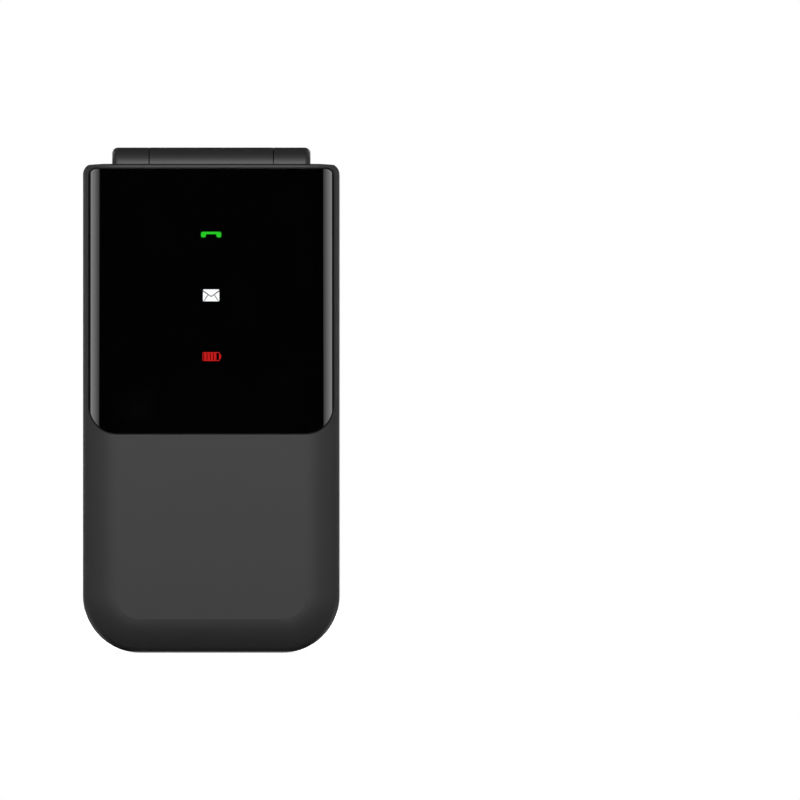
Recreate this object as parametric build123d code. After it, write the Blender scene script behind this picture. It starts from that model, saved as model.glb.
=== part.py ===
from build123d import *
import math
import os

os.makedirs("parts", exist_ok=True)

# ---------------------------------------------------------------------------
# Clamshell telephone, closed and upright. X is to the right seen from the
# front, the flip is at -Y, the battery side at +Y, the hinge at the top (+Z).
# All lengths are millimetres. Driving dimensions come first.
# ---------------------------------------------------------------------------
width = 52.0                 # casing, side to side
depth = 18.0                 # flip front to back cover
hinge_height = 98.3          # hinge axis above the foot of the casing
half_w = width / 2
barrel_radius = 4.1          # outside of the hinge barrel
barrel_rise = 3.3            # barrel crest above the top edge of the casing
body_top = hinge_height + barrel_radius - barrel_rise
barrel_half = half_w - 5.9   # middle of the phone to the barrel's end
knuckle_half = barrel_half - 7.6   # half length of the flip's middle knuckle
flip_depth = 7.0             # front face to the parting plane
face_gap = 0.4               # see-through gap between the halves
corner_low = 11.55           # outline corner radius at the foot
corner_high = 2.2            # outline corner radius at the hinge end
wall = 1.3                   # casing walls

# Flip
crown_width = 7.0            # rounded shoulder along the sides and foot
crown_radius = 11.5          # gentle part of the shoulder
crown_lead = 1.0             # slope where the shoulder begins, degrees
rim_width = 1.23             # casing seen outside the lens
rim_drop_angle = 80.9        # steepness where the shoulder ends, degrees
rim_top = 0.95               # casing above the lens
lens_foot = 0.449 * body_top       # lower edge of the front lens
lens_corner_low = 5.5
lens_corner_high = 1.4
lens_thick = 0.9
lens_floor = 0.7             # casing left behind the lens
edge_line = 0.56             # dark edge of the inner covers beside the gap
edge_inset = 0.22            # how far that edge stands in from the side wall
top_slope = 9.4              # tops of both halves fall toward the gap, degrees

# Base
trim_width = 1.05            # silver chamfer round the battery side
groove_width = 0.5           # dark groove between trim and back cover
parting_back = 5.2           # groove line, depth behind the middle plane
parting_rise = body_top - 12.1     # above this the groove line curves forward
parting_radius = 24.9
cover_inset = 1.4            # cover's side wall in from the casing side
cover_wall = 0.9
foot_crown_rise = 8.8        # rounded foot of the back cover
foot_crown_radius = 10.2
wing_ridge = half_w - 6.4    # ridge line of the side wings, from the middle
wing_drop = 1.0              # wing edge below the flat back
wing_tip = 0.461 * body_top        # height where the ridge band runs out
wing_band = 1.1
wing_step = 0.35
panel_foot = body_top - 15.7       # lower edge of the sloped camera panel
panel_half = half_w - 6.5
panel_corner = 8.5
panel_step = 0.25
panel_slope = 13.0           # degrees
shoulder_rise = body_top - 15.1    # the back begins to curve forward here

# Hinge internals
running_fit = 0.05
knuckle_clear = 0.25         # round the knuckles, and between their ends
cartridge_radius = 3.0
cam_radius = 1.6
pivot_radius = 2.2
pivot_bore = 1.5
collar_radius = 3.7          # ring on the base knuckles that closes the joint line
collar_bore = 3.1
collar_reach = 0.5
collar_fit = 0.1

# Keys
key_clear = 0.15
key_travel = 0.25
key_flange = 0.5
keypad_cover_thick = 1.1

# Electronics
board_thick = 0.8
battery_height, battery_thick = 0.5045 * body_top, 4.2
battery_width = width - 12.0
window_side = 6.4            # casing beside the display window
display_side = 2.1           # window glass beside the picture area
display_ends = 5.5           # window glass above and below the picture area
usb_height, usb_thick, usb_wall = 8.2, 2.92, 0.3
usb_centre_y = 2.09
usb_centre_z = body_top - 16.25
camera_z = body_top - 11.8
camera_ring, camera_glass = 3.65, 3.3
flash_x, flash_ring, flash_glass = -7.85, 1.83, 1.6

# Derived planes
front_y, back_y = -depth / 2, depth / 2
part_y = front_y + flip_depth
flip_in = part_y - face_gap / 2
base_in = part_y + face_gap / 2
flip_edge = flip_in - edge_line
base_edge = base_in + edge_line
relief = barrel_radius + knuckle_clear


# ---------------------------------------------------------------------------
# Helpers
# ---------------------------------------------------------------------------
def slab(sketch, y0, y1):
    """Extrude a sketch drawn in (X, Z) from y0 to y1."""
    return extrude(Plane.XZ.offset(-y1) * sketch, amount=y1 - y0)


def block(x0, x1, y0, y1, z0, z1):
    return Pos((x0 + x1) / 2, (y0 + y1) / 2, (z0 + z1) / 2) * Box(x1 - x0, y1 - y0, z1 - z0)


def rod_x(x0, x1, r, y=None, z=None):
    """Round bar along X, on the hinge axis unless told otherwise."""
    y = part_y if y is None else y
    z = hinge_height if z is None else z
    return Pos((x0 + x1) / 2, y, z) * Rot(0, 90, 0) * Cylinder(r, x1 - x0)


def rod_y(x, z, r, y0, y1):
    return Pos(x, (y0 + y1) / 2, z) * Rot(90, 0, 0) * Cylinder(r, y1 - y0)


def rounded(x0, x1, z0, z1, r):
    """Rounded rectangle drawn in (X, Z)."""
    return Pos((x0 + x1) / 2, (z0 + z1) / 2) * RectangleRounded(x1 - x0, z1 - z0, r)


def outline(inset, z0=0.0, z1=None, low=None, high=None):
    """Casing outline in (X, Z), stepped in all round."""
    z1 = body_top if z1 is None else z1
    low = corner_low if low is None else low
    high = corner_high if high is None else high
    a, b, c = half_w - inset, z0 + inset, z1 - inset
    shape = Pos(0, (b + c) / 2) * Rectangle(2 * a, c - b)
    ends = shape.vertices().sort_by(Axis.Y)
    shape = fillet(ends[:2], max(low - inset, 0.3))
    ends = shape.vertices().sort_by(Axis.Y)
    return fillet(ends[-2:], max(high - inset, 0.3))


def prism_x(points, half=None):
    """Closed outline of (Y, Z) points extruded both ways along X."""
    half = half_w + 2 if half is None else half
    face = make_face(Polyline(*[(y, z) for y, z in points], close=True))
    return extrude(Plane.YZ * face, amount=half, both=True)


def save(name, shape):
    shape.label = name
    export_step(shape, "parts/" + name + ".step")


# ---------------------------------------------------------------------------
# Flip: the rounded shoulder is one profile carried down both sides and round
# the foot. Its two arcs meet just outside the lens edge.
# ---------------------------------------------------------------------------
knee_u = rim_width - 0.2
knee = math.asin((crown_width - knee_u) / crown_radius)
knee_v = crown_radius * (1 - math.cos(knee))
rim_end = math.radians(rim_drop_angle)
rim_radius = knee_u / (math.sin(rim_end) - math.sin(knee))
rim_u = knee_u + rim_radius * math.sin(knee)
rim_v = knee_v + rim_radius * math.cos(knee)


def on_arc(cu, cv, r, angle):
    return cu - r * math.sin(angle), cv - r * math.cos(angle)


def shoulder_cut(t):
    """Everything outside the flip's shoulder, for a body thinned by t."""
    ra, rb = crown_radius - t, rim_radius - t
    lead = math.radians(crown_lead)
    start = on_arc(crown_width, crown_radius, ra, lead)
    mid_a = on_arc(crown_width, crown_radius, ra, (knee + lead) / 2)
    joint = on_arc(crown_width, crown_radius, ra, knee)
    past = rim_end + math.radians(3)
    mid_b = on_arc(rim_u, rim_v, rb, (knee + past) / 2)
    end = on_arc(rim_u, rim_v, rb, past)
    edges = [ThreePointArc(start, mid_a, joint), ThreePointArc(joint, mid_b, end),
             Polyline(end, (-3.0, end[1]), (-3.0, -3.0), (start[0], -3.0), start)]
    z_top = body_top + 4
    section = Pos(-half_w, front_y, z_top) * make_face(edges)
    c, s = corner_low, math.sqrt(0.5)
    path = Wire([
        Line((-half_w, front_y, z_top), (-half_w, front_y, c)),
        ThreePointArc((-half_w, front_y, c), (-half_w + c * (1 - s), front_y, c * (1 - s)),
                      (-half_w + c, front_y, 0)),
        Line((-half_w + c, front_y, 0), (half_w - c, front_y, 0)),
        ThreePointArc((half_w - c, front_y, 0), (half_w - c * (1 - s), front_y, c * (1 - s)),
                      (half_w, front_y, c)),
        Line((half_w, front_y, c), (half_w, front_y, z_top)),
    ])
    return sweep(section, path=path)


def top_cut(side):
    """Wedge over the top of one half: side -1 flip, +1 base."""
    tan = math.tan(math.radians(top_slope))
    reach = abs(front_y - part_y) + 6
    inner_z = body_top - abs(front_y - part_y) * tan
    return prism_x([(part_y, inner_z), (part_y + side * reach, inner_z + reach * tan),
                    (part_y + side * reach, body_top + 9), (part_y, body_top + 9)])


def flip_body(t, y1):
    """Solid flip body thinned by t at the front and sides, back to y1."""
    body = slab(outline(t), front_y + t, y1)
    return body - shoulder_cut(t) - (Pos(0, 0, -t) * top_cut(-1))


def knuckle_room(x0, x1):
    """Coaxial clearance bored through either half round the barrel."""
    return rod_x(x0, x1, relief)


def screw(x, z, y_head, y_tip, head_r=1.35, head_t=0.7, shank_r=0.7, drive=0.35):
    """Pan screw driven from y_head toward y_tip, with a cross recess."""
    way = 1 if y_tip > y_head else -1
    y_under = y_head + way * head_t
    body = rod_y(x, z, head_r, min(y_head, y_under), max(y_head, y_under))
    body += rod_y(x, z, shank_r, min(y_under, y_tip), max(y_under, y_tip))
    y_cut = sorted((y_head - way * 0.1, y_head + way * drive))
    for a, b in ((0.9, 0.18), (0.18, 0.9)):
        body -= block(x - a, x + a, y_cut[0], y_cut[1], z - b, z + b)
    return body


# Openings in the flip
window_half = half_w - window_side
window_foot, window_top = 0.2926 * body_top, body_top - 13.1
display_width = 2 * (window_half - display_side)
display_height = window_top - window_foot - 2 * display_ends
aperture_half = display_width / 2
aperture_mid = (window_foot + window_top) / 2 + 1.0
window_thick = 0.7
ear_z, ear_half, ear_rise = 15.5, 6.0, 1.1
flip_screw_spots = [(s * (half_w - side), z) for side, z in ((9.0, 6.4), (3.9, body_top - 9.5))
                    for s in (-1, 1)]
spigot = 0.9
cavity_t = lens_thick + lens_floor
cavity_top = hinge_height - relief - 1.3
floor_y = front_y + cavity_t
lens_gap = 0.3               # dark joint line round the lens
lens_top = body_top - rim_top - lens_gap / 2
lens_half = half_w - rim_width - lens_gap / 2
head_sink, head_thick = 1.0, 0.65
cap_fit = 0.05

# Status icons, (x, z) centres on the lens
call_z, message_z, level_z = body_top - 14.4, body_top - 26.7, body_top - 39.1


def lens_outline(grow=0.0):
    a = lens_half + grow
    z0, z1 = lens_foot - grow, lens_top + grow
    shape = Pos(0, (z0 + z1) / 2) * Rectangle(2 * a, z1 - z0)
    shape = fillet(shape.vertices().sort_by(Axis.Y)[:2], lens_corner_low + grow)
    return fillet(shape.vertices().sort_by(Axis.Y)[-2:], lens_corner_high + grow)


def front_edge_round(r=0.6):
    """Rolls over the upper front edge of the flip."""
    y, z = front_y, body_top
    s = r * (1 - math.sqrt(0.5))
    edges = [ThreePointArc((y, z - r), (y + s, z - s), (y + r, z)),
             Polyline((y + r, z), (y + r, z + 1), (y - 1, z + 1), (y - 1, z - r), (y, z - r))]
    return extrude(Plane.YZ * make_face(edges), amount=half_w + 2, both=True)


def foot_bevel(y, side, size=0.5):
    """Small bevel where each half's foot meets the gap."""
    return prism_x([(y + side * 0.01, -0.5), (y - side * (size + 0.5), -0.5),
                    (y - side * size, 0.0), (y + side * 0.01, size)])


def handset():
    """Lying handset: a bar with two turned-down ends."""
    shape = Pos(0, call_z + 0.33) * RectangleRounded(3.5, 0.5, 0.2)
    for s in (-1, 1):
        shape += Pos(s * 1.55, call_z) * RectangleRounded(1.0, 1.15, 0.35)
    return shape


def envelope():
    """Closed envelope: the flap stands apart from the pocket."""
    a, b, cut = 1.65, 1.2, 0.11
    z = message_z
    shape = Pos(0, z) * RectangleRounded(2 * a, 2 * b, 0.2)
    for s in (-1, 1):
        shape -= make_face(Polyline((s * (a + .2), z + b), (0, z - 0.15), (0, z - 0.15 - 2 * cut),
                                    (s * (a + .2), z + b - 2.6 * cut), close=True))
        shape -= make_face(Polyline((s * 0.75, z + 0.1), (s * (a - .1), z - b + .1),
                                    (s * (a - .3), z - b + .1), (s * 0.62, z - 0.05), close=True))
    return shape


def battery_level():
    """Cell outline with a nose and four bars."""
    z, line = level_z, 0.16
    a, b = 1.75, 0.9
    shape = Pos(0, z) * RectangleRounded(2 * a, 2 * b, 0.25)
    shape -= Pos(0, z) * RectangleRounded(2 * (a - line), 2 * (b - line), 0.12)
    shape += Pos(a + 0.12, z) * Rectangle(0.28, 0.8)
    for i in range(4):
        shape += Pos(-a + line + 0.42 + i * 0.66, z) * Rectangle(0.5, 2 * b - 2 * line + 0.02)
    return shape


icons = {"call_indicator": handset(), "message_indicator": envelope(),
         "battery_indicator": battery_level()}
icon_pipes = {"call_indicator": (0, call_z + 0.33, 0.24), "message_indicator": (0, message_z - 0.8, 0.35),
              "battery_indicator": (-0.51, level_z, 0.24)}
inlay = 0.3
icon_solids = {name: slab(shape, front_y, front_y + inlay) for name, shape in icons.items()}
for name, (x, z, r) in icon_pipes.items():
    icon_solids[name] += rod_y(x, z, r, front_y, floor_y)
icon_holes = [slab(rounded(-2.3, 2.3, z - 1.5, z + 1.5, 0.3), front_y + lens_thick, floor_y)
              for z in (call_z, message_z, level_z)]
icon_backs = {}
for name, hole in zip(icons, icon_holes):
    icon_backs[name] = icon_solids[name] + hole

inner_body = slab(outline(lens_thick), front_y + lens_thick, flip_edge)
inner_body += block(-half_w + lens_thick, half_w - lens_thick, front_y + lens_thick, flip_edge,
                    body_top - 10, body_top + 3)
inner_body -= shoulder_cut(lens_thick)
lens_room = slab(lens_outline(lens_gap), front_y - 1, flip_edge) - inner_body
flip_cavity = flip_body(cavity_t, flip_in + 1) & block(-half_w, half_w, front_y, flip_in + 1,
                                                       0, cavity_top)

# Hinge bores in the middle knuckle
coil_x0, coil_x1 = -knuckle_half + 2.4, -knuckle_half + 7.4
cartridge_x0, cartridge_x1 = coil_x1 + 2.1, knuckle_half - 0.2
coil_room = 3.2
bush = 0.03                  # fit round parts that do not turn in their bore

shell = flip_body(0, flip_edge) + rod_x(-knuckle_half, knuckle_half, barrel_radius)
shell -= front_edge_round()
shell -= foot_bevel(flip_in, 1)
shell = shell - lens_room - flip_cavity
for s in (-1, 1):
    x = sorted((s * knuckle_half, s * (barrel_half + knuckle_clear)))
    shell -= knuckle_room(x[0], x[1])
for x, z in flip_screw_spots:
    post = rod_y(x, z, 2.1, front_y + lens_thick + 0.2, flip_edge - spigot)
    shell += post & flip_body(lens_thick + 0.2, flip_edge)
    shell -= rod_y(x, z, 0.72, floor_y + 0.4, flip_edge)
for hole in icon_holes:
    shell -= hole
shell -= rod_x(cartridge_x0 - 0.02, knuckle_half + 1, cartridge_radius + bush)
shell -= rod_x(coil_x0, coil_x1, coil_room)
shell -= rod_x(-knuckle_half - 1, coil_x0 + 0.1, pivot_radius + running_fit)
collar_room = knuckle_half - collar_reach + 0.1
for x in ((-knuckle_half - 1, -collar_room), (collar_room, knuckle_half + 1)):
    shell -= rod_x(x[0], x[1], collar_radius + collar_fit)
# slot for the flexible circuit out of the coil chamber into the flip
flex_x0, flex_x1 = coil_x0 + 0.6, coil_x1 - 0.6
flex_slot_y = part_y - 3.0
flex_tail = 8.65             # flexible circuit's reach into the flip
shell -= block(flex_x0 - 0.2, flex_x1 + 0.2, flex_slot_y - 0.35, flex_slot_y + 0.35,
               cavity_top - 1, hinge_height)
save("flip_outer_shell", shell)

lens = (flip_body(0, flip_edge) - front_edge_round() - inner_body) & \
    slab(lens_outline(), front_y - 1, flip_edge)
for name in icons:
    lens -= icon_solids[name]
save("flip_front_lens", lens)
for name in icons:
    save(name, icon_backs[name])

# Inner cover with window, earpiece slot and screw seats
cover_plate = slab(outline(edge_inset), flip_edge, flip_in) - (Pos(0, 0, -edge_inset) * top_cut(-1))
cover_plate -= knuckle_room(-barrel_half - knuckle_clear, barrel_half + knuckle_clear)
cover_plate -= foot_bevel(flip_in, 1)
tongue = flip_body(cavity_t + 0.1, flip_edge) & block(-half_w, half_w, flip_edge - spigot,
                                                      flip_edge, 0, cavity_top - 0.1)
inner_cover = cover_plate + tongue
ear_slot = rounded(-ear_half, ear_half, ear_z - ear_rise, ear_z + ear_rise, ear_rise - 0.05)
win = rounded(-window_half, window_half, window_foot, window_top, 1.5)
aperture = rounded(-aperture_half, aperture_half, aperture_mid - display_height / 2,
                   aperture_mid + display_height / 2, 0.6)
inner_cover -= slab(win, flip_in - window_thick, flip_in + 1)
inner_cover -= slab(aperture, flip_edge - spigot - 1, flip_in + 1)
inner_cover -= slab(ear_slot, flip_edge - spigot - 1, flip_in + 1)
for x, z in flip_screw_spots:
    inner_cover -= rod_y(x, z, 1.5, flip_in - head_sink, flip_in + 1)
    inner_cover -= rod_y(x, z, 0.8, flip_edge - spigot - 1, flip_in)
save("flip_inner_cover", inner_cover)

window_fit = 0.08
save("display_window", slab(rounded(-window_half + window_fit, window_half - window_fit,
                                    window_foot + window_fit, window_top - window_fit, 1.42),
                            flip_in - window_thick, flip_in))
panel_front = flip_edge - spigot
panel_thick = 1.5
display = slab(rounded(-display_width / 2 - 1.4, display_width / 2 + 1.4,
                       aperture_mid - display_height / 2 - 3.2,
                       aperture_mid + display_height / 2 + 1.4, 0.5),
               panel_front - panel_thick, panel_front)
raised = slab(rounded(-aperture_half + 0.1, aperture_half - 0.1,
                      aperture_mid - display_height / 2 + 0.1,
                      aperture_mid + display_height / 2 - 0.1, 0.5),
              panel_front, flip_in - window_thick - 0.1)
save("display_panel", display + raised)

flip_board_y1 = panel_front - panel_thick
flip_board_y0 = flip_board_y1 - 0.7
flip_board_half = window_half + 0.4
flip_board = slab(rounded(-flip_board_half, flip_board_half, window_foot - 4.5, window_top + 2.5, 1.0),
                  flip_board_y0, flip_board_y1)
for x0, x1, high, z0, z1 in ((-0.3, 0.3, 1.0, 0.02, 0.08), (0.4, 0.7, 0.8, 0.26, 0.35),
                             (-0.75, -0.45, 0.8, 0.3, 0.4)):
    flip_board += block(x0 * flip_board_half, x1 * flip_board_half, flip_board_y0 - high,
                        flip_board_y0, window_foot + z0 * (window_top - window_foot),
                        window_foot + z1 * (window_top - window_foot))
save("flip_board", flip_board)
leds = Compound(children=[block(-1.3, 1.3, floor_y, flip_board_y0, z - 0.9, z + 0.9)
                          for z in (call_z, message_z, level_z)])
save("indicator_leds", leds)

grille_fit = 0.06
grille = slab(rounded(-ear_half + grille_fit, ear_half - grille_fit, ear_z - ear_rise + grille_fit,
                      ear_z + ear_rise - grille_fit, ear_rise - 0.15), flip_in - 0.6, flip_in - 0.15)
ear_pitch = ear_half / 5
for i in range(9):
    for j in (-1, 1):
        grille -= rod_y(ear_pitch * (i - 4), ear_z + j * 0.42, 0.27, flip_in - 1, flip_in)
save("earpiece_grille", grille)
speaker_front = flip_edge - spigot
speaker = rod_y(0, ear_z, 7.0, floor_y + 0.02, speaker_front)
speaker -= rod_y(0, ear_z, 5.6, speaker_front - 0.35, speaker_front + 1)
speaker += rod_y(0, ear_z, 2.6, speaker_front - 0.4, speaker_front - 0.1)
save("earpiece_speaker", speaker)

head_y = flip_in - head_sink + head_thick
save("flip_screws", Compound(children=[
    screw(x, z, head_y, floor_y + 0.6, head_t=head_thick) for x, z in flip_screw_spots]))
bumpers = []
for x, z in flip_screw_spots:
    proud = 0.25 if z < 20 else 0.0
    pad = rod_y(x, z, 1.5 - cap_fit, head_y, flip_in + proud)
    if proud:
        pad = fillet(pad.edges().filter_by(GeomType.CIRCLE).sort_by(Axis.Y)[-1:], 0.2)
    bumpers.append(pad)
save("flip_bumpers", Compound(children=bumpers))

# ---------------------------------------------------------------------------
# Hinge: a spring cartridge and its cam shaft on the right, a hollow pivot for
# the flexible circuit on the left
# ---------------------------------------------------------------------------
knuckle_gap = 0.2
knuckle_x = knuckle_half + knuckle_gap
socket_depth = 6.0
hex_flats = 3.5
hex_fit = 0.04
spring_wire = 0.35
spring_turns = 5
shaft_disc = 2.45
chamber = cam_radius + 2 * spring_wire + 0.35


def hex_bar(x0, x1, flats):
    face = Plane.YZ * RegularPolygon(flats / 2, 6, major_radius=False)
    return Pos(x0, part_y, hinge_height) * extrude(face, amount=x1 - x0)


cartridge = rod_x(cartridge_x0, cartridge_x1, cartridge_radius)
cartridge_nose, cartridge_end, disc_gap, disc_thick = 4.5, 1.8, 0.5, 1.0
chamber_x0, chamber_x1 = cartridge_x0 + cartridge_nose, cartridge_x1 - cartridge_end
cartridge -= rod_x(chamber_x0, chamber_x1, chamber)
cartridge -= rod_x(chamber_x0, knuckle_half + 1, cam_radius + running_fit)
save("hinge_cartridge", cartridge)
disc_x0 = chamber_x0 + disc_gap
disc_x1 = disc_x0 + disc_thick
shaft = rod_x(disc_x0, knuckle_x - 0.1, cam_radius) + rod_x(disc_x0, disc_x1, shaft_disc)
shaft += hex_bar(knuckle_x - 0.1, knuckle_x + socket_depth - 0.1, hex_flats)
save("hinge_cam_shaft", shaft)
coil_start, coil_end = disc_x1 + spring_wire + 0.06, chamber_x1 - spring_wire - 0.04
coil_mean = cam_radius + 0.12 + spring_wire
helix = Helix((coil_end - coil_start) / spring_turns, coil_end - coil_start, coil_mean)
helix_start = Plane(origin=helix @ 0, z_dir=helix % 0)
coil = sweep(helix_start * Rectangle(2 * spring_wire * 0.86, 2 * spring_wire * 0.86), path=helix,
             is_frenet=True)
save("hinge_spring", Pos(coil_start, part_y, hinge_height) * Rot(0, 90, 0) * coil)

pivot = rod_x(-knuckle_x - socket_depth + 0.1, coil_x0 + 0.05, pivot_radius)
pivot -= rod_x(-knuckle_x - socket_depth - 1, coil_x0 + 1, pivot_bore)
save("hinge_pivot_pin", pivot)
roll = pivot_bore - 0.25
flex = rod_x(-knuckle_x - socket_depth + 0.6, flex_x0 + 0.3, roll)
flex -= rod_x(-knuckle_x - socket_depth, flex_x0 + 1, roll - 0.15)
drum = rod_x(flex_x0, flex_x1, coil_room - 0.08)
drum -= rod_x(flex_x0 - 1, flex_x1 + 1, coil_room - 0.32)
flex += drum
flex += block(flex_x0, flex_x0 + 0.3, part_y - 0.6, part_y + 0.6,
              hinge_height + roll - 0.1, hinge_height + coil_room - 0.2)
flex += block(flex_x0, flex_x1, flex_slot_y - 0.12, flex_slot_y + 0.12,
              cavity_top - flex_tail, hinge_height)
flex -= rod_x(flex_x0 + 0.3, flex_x1 + 1, coil_room - 0.32)
save("hinge_flex", flex)

# ---------------------------------------------------------------------------
# Base: levels from the keypad face to the back cover
# ---------------------------------------------------------------------------
key_face = base_in
key_under = key_face + keypad_cover_thick + 0.1
flange_thick = 0.3
flange_y = key_under + flange_thick
mat_y0 = flange_y + key_travel + 0.03
mat_y1 = mat_y0 + 0.45
sheet_y1 = mat_y1 + 0.12
board_y0, board_y1 = sheet_y1, sheet_y1 + board_thick
can_y1 = board_y1 + 1.4
tray_y0, tray_y1 = can_y1 + 0.1, can_y1 + 0.7
battery_y0 = tray_y1 + 0.08
battery_foot = 12.0
battery_top = battery_foot + battery_height
trim_off = -groove_width / 2
frame_off = trim_off - trim_width
skirt_off = groove_width / 2
rim_inset, rim_thick = cover_inset + cover_wall, 0.9
trim_inset = rim_inset - 0.1
lip_inset = cover_inset + 0.5
base_cavity_top = hinge_height - relief - 1.3
posts = [(s * (half_w - side), z) for side, z in ((12.0, 7.2), (5.8, body_top - 8.8))
         for s in (-1, 1)]


def behind(off):
    """All space behind the curved parting line moved back by off."""
    y, r, top = parting_back + off, parting_radius + off, body_top + 6
    cy = parting_back - parting_radius
    mid, end = (top - parting_rise) / 2, top - parting_rise
    edges = [Polyline((y, parting_rise), (y, -5), (40, -5), (40, top),
                      (cy + math.sqrt(r * r - end * end), top)),
             ThreePointArc((y, parting_rise), (cy + math.sqrt(r * r - mid * mid),
                                               parting_rise + mid),
                           (cy + math.sqrt(r * r - end * end), top))]
    return extrude(Plane.YZ * make_face(edges), amount=half_w + 3, both=True)


def u_slab(inset, y0, y1):
    """Outline slab that runs out past the top edge."""
    return slab(outline(inset), y0, y1) + block(-half_w + inset, half_w - inset, y0, y1,
                                                body_top - 10, body_top + 3)


def usb_bar(x0, x1, grow):
    """Receptacle section: large bevels toward the keypad, small ones behind."""
    a, b = usb_thick / 2 + grow, usb_height / 2 + grow
    big, small = 1.1 + grow * 0.4, 0.35 + grow * 0.4
    y, z = usb_centre_y, usb_centre_z
    pts = [(y - a, z - b + big), (y - a + big, z - b), (y + a - small, z - b),
           (y + a, z - b + small), (y + a, z + b - small), (y + a - small, z + b),
           (y - a + big, z + b), (y - a, z + b - big)]
    face = Plane.YZ * make_face(Polyline(*pts, close=True))
    return Pos(x0, 0, 0) * extrude(face, amount=x1 - x0)


base_top = top_cut(1)
frame = slab(outline(0), base_edge, 8) - behind(frame_off) - base_top
for s in (-1, 1):
    x = sorted((s * knuckle_x, s * barrel_half))
    knuckle = rod_x(x[0], x[1], barrel_radius)
    end = knuckle.edges().filter_by(GeomType.CIRCLE).sort_by(Axis.X)
    knuckle = fillet(end[-1:] if s > 0 else end[:1], 1.2)
    frame += knuckle
frame -= knuckle_room(-knuckle_x, knuckle_x)
for x in ((-knuckle_x - 1, -knuckle_x + collar_reach), (knuckle_x - collar_reach, knuckle_x + 1)):
    frame += rod_x(x[0], x[1], collar_radius) - rod_x(x[0] - 1, x[1] + 1, collar_bore)
frame -= slab(outline(wall), base_edge - 1, 9) & block(-half_w, half_w, -10, 9, 0,
                                                       base_cavity_top)
frame -= hex_bar(knuckle_x - 0.5, knuckle_x + socket_depth, hex_flats + 2 * hex_fit)
frame -= rod_x(-knuckle_x - socket_depth, -knuckle_x + 0.5, pivot_radius + bush)
frame -= usb_bar(half_w - wall - 1, half_w + 1, 0.2)
save("base_frame", frame)

trim = u_slab(0, 0, 9) & (behind(frame_off) - behind(trim_off))
rear = [f for f in trim.faces() if f.normal_at(f.center()).Y > 0.6]
rims = []
for e in [e for f in rear for e in f.edges()]:
    m = e @ 0.5
    if abs(m.X) > half_w - corner_low - 0.01 or m.Z < 0.01:
        rims.append(e)
trim = chamfer(rims, trim_width - 0.03)
trim = (trim & slab(outline(0), -2, 9)) - u_slab(trim_inset, -1, 9) - base_top
save("rear_trim_ring", trim)

# Keypad layout, (x, z) centres; the flip covers it when closed
nav_radius, ok_radius = 8.5, 3.9
nav_z = 0.7366 * body_top
digit_pitch_x, digit_pitch_z = 0.5615 * half_w, 0.107 * body_top
digit_top_z = 0.5106 * body_top
digit_w, digit_h = digit_pitch_x - 1.6, digit_pitch_z - 1.8
side_x, side_w = 0.65 * half_w, 0.4 * half_w
soft_z, soft_h, soft_w = 0.8093 * body_top, 6.0, side_w - 0.8
call_key_z, call_h = 0.658 * body_top, 7.0
digit_names = [["1", "2", "3"], ["4", "5", "6"], ["7", "8", "9"], ["star", "0", "hash"]]
plain_keys = {
    "soft_key_left": (0.3 - side_x, soft_z, soft_w, soft_h),
    "soft_key_right": (side_x - 0.3, soft_z, soft_w, soft_h),
    "call_key": (-side_x, call_key_z, side_w, call_h),
    "end_key": (side_x, call_key_z, side_w, call_h)}
for row, names in enumerate(digit_names):
    for col, name in enumerate(names):
        plain_keys["key_" + name] = ((col - 1) * digit_pitch_x, digit_top_z - row * digit_pitch_z,
                                     digit_w, digit_h)
key_round = 1.4


def key_shape(x, z, w, h, grow=0.0):
    return rounded(x - w / 2 - grow, x + w / 2 + grow, z - h / 2 - grow, z + h / 2 + grow,
                   key_round + max(grow, -1.0))


def bevel_front(solid, y, size):
    face = solid.faces().sort_by(Axis.Y)[0]
    return chamfer(face.edges(), size)


for name, (x, z, w, h) in plain_keys.items():
    cap = slab(key_shape(x, z, w, h), key_face, flange_y)
    cap = bevel_front(cap, key_face, 0.2)
    save(name, cap + slab(key_shape(x, z, w, h, key_flange), key_under, flange_y))

ok = bevel_front(rod_y(0, nav_z, ok_radius, key_face, flange_y), key_face, 0.2)
ok += rod_y(0, nav_z, ok_radius + 0.6, key_under, flange_y)
dome_h = 0.32
ok += rod_y(0, nav_z, 1.2, flange_y, mat_y1 - dome_h - key_travel - 0.02)
save("ok_key", ok)
ring_in = ok_radius + 0.3
nav = rod_y(0, nav_z, nav_radius, key_face, flange_y)
nav = bevel_front(nav, key_face, 0.3)
nav += rod_y(0, nav_z, nav_radius + 0.5, flange_y - 0.15, flange_y)
nav -= rod_y(0, nav_z, ring_in, key_face - 1, flange_y + 1)
nav -= rod_y(0, nav_z, ok_radius + 0.9, key_under - 0.25, flange_y + 1)
save("nav_ring", nav)
pad_in, pad_out = ok_radius + 0.85, 5.9
pad_y0, pad_y1 = flange_y + 0.17, mat_y1 - 0.19
pad = rod_y(0, nav_z, pad_out, pad_y0, pad_y1)
for s in (-1, 1):
    pad += block(-0.2, 0.2, flange_y + 0.015, pad_y0 + 0.01, nav_z + s * 5.4 - 0.4, nav_z + s * 5.4 + 0.4)
    pad += block(s * 5.4 - 0.4, s * 5.4 + 0.4, pad_y1 - 0.01, mat_y1 - 0.015, nav_z - 0.2, nav_z + 0.2)
pad -= rod_y(0, nav_z, pad_in, -5, 5)
save("nav_pad", pad)

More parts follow.
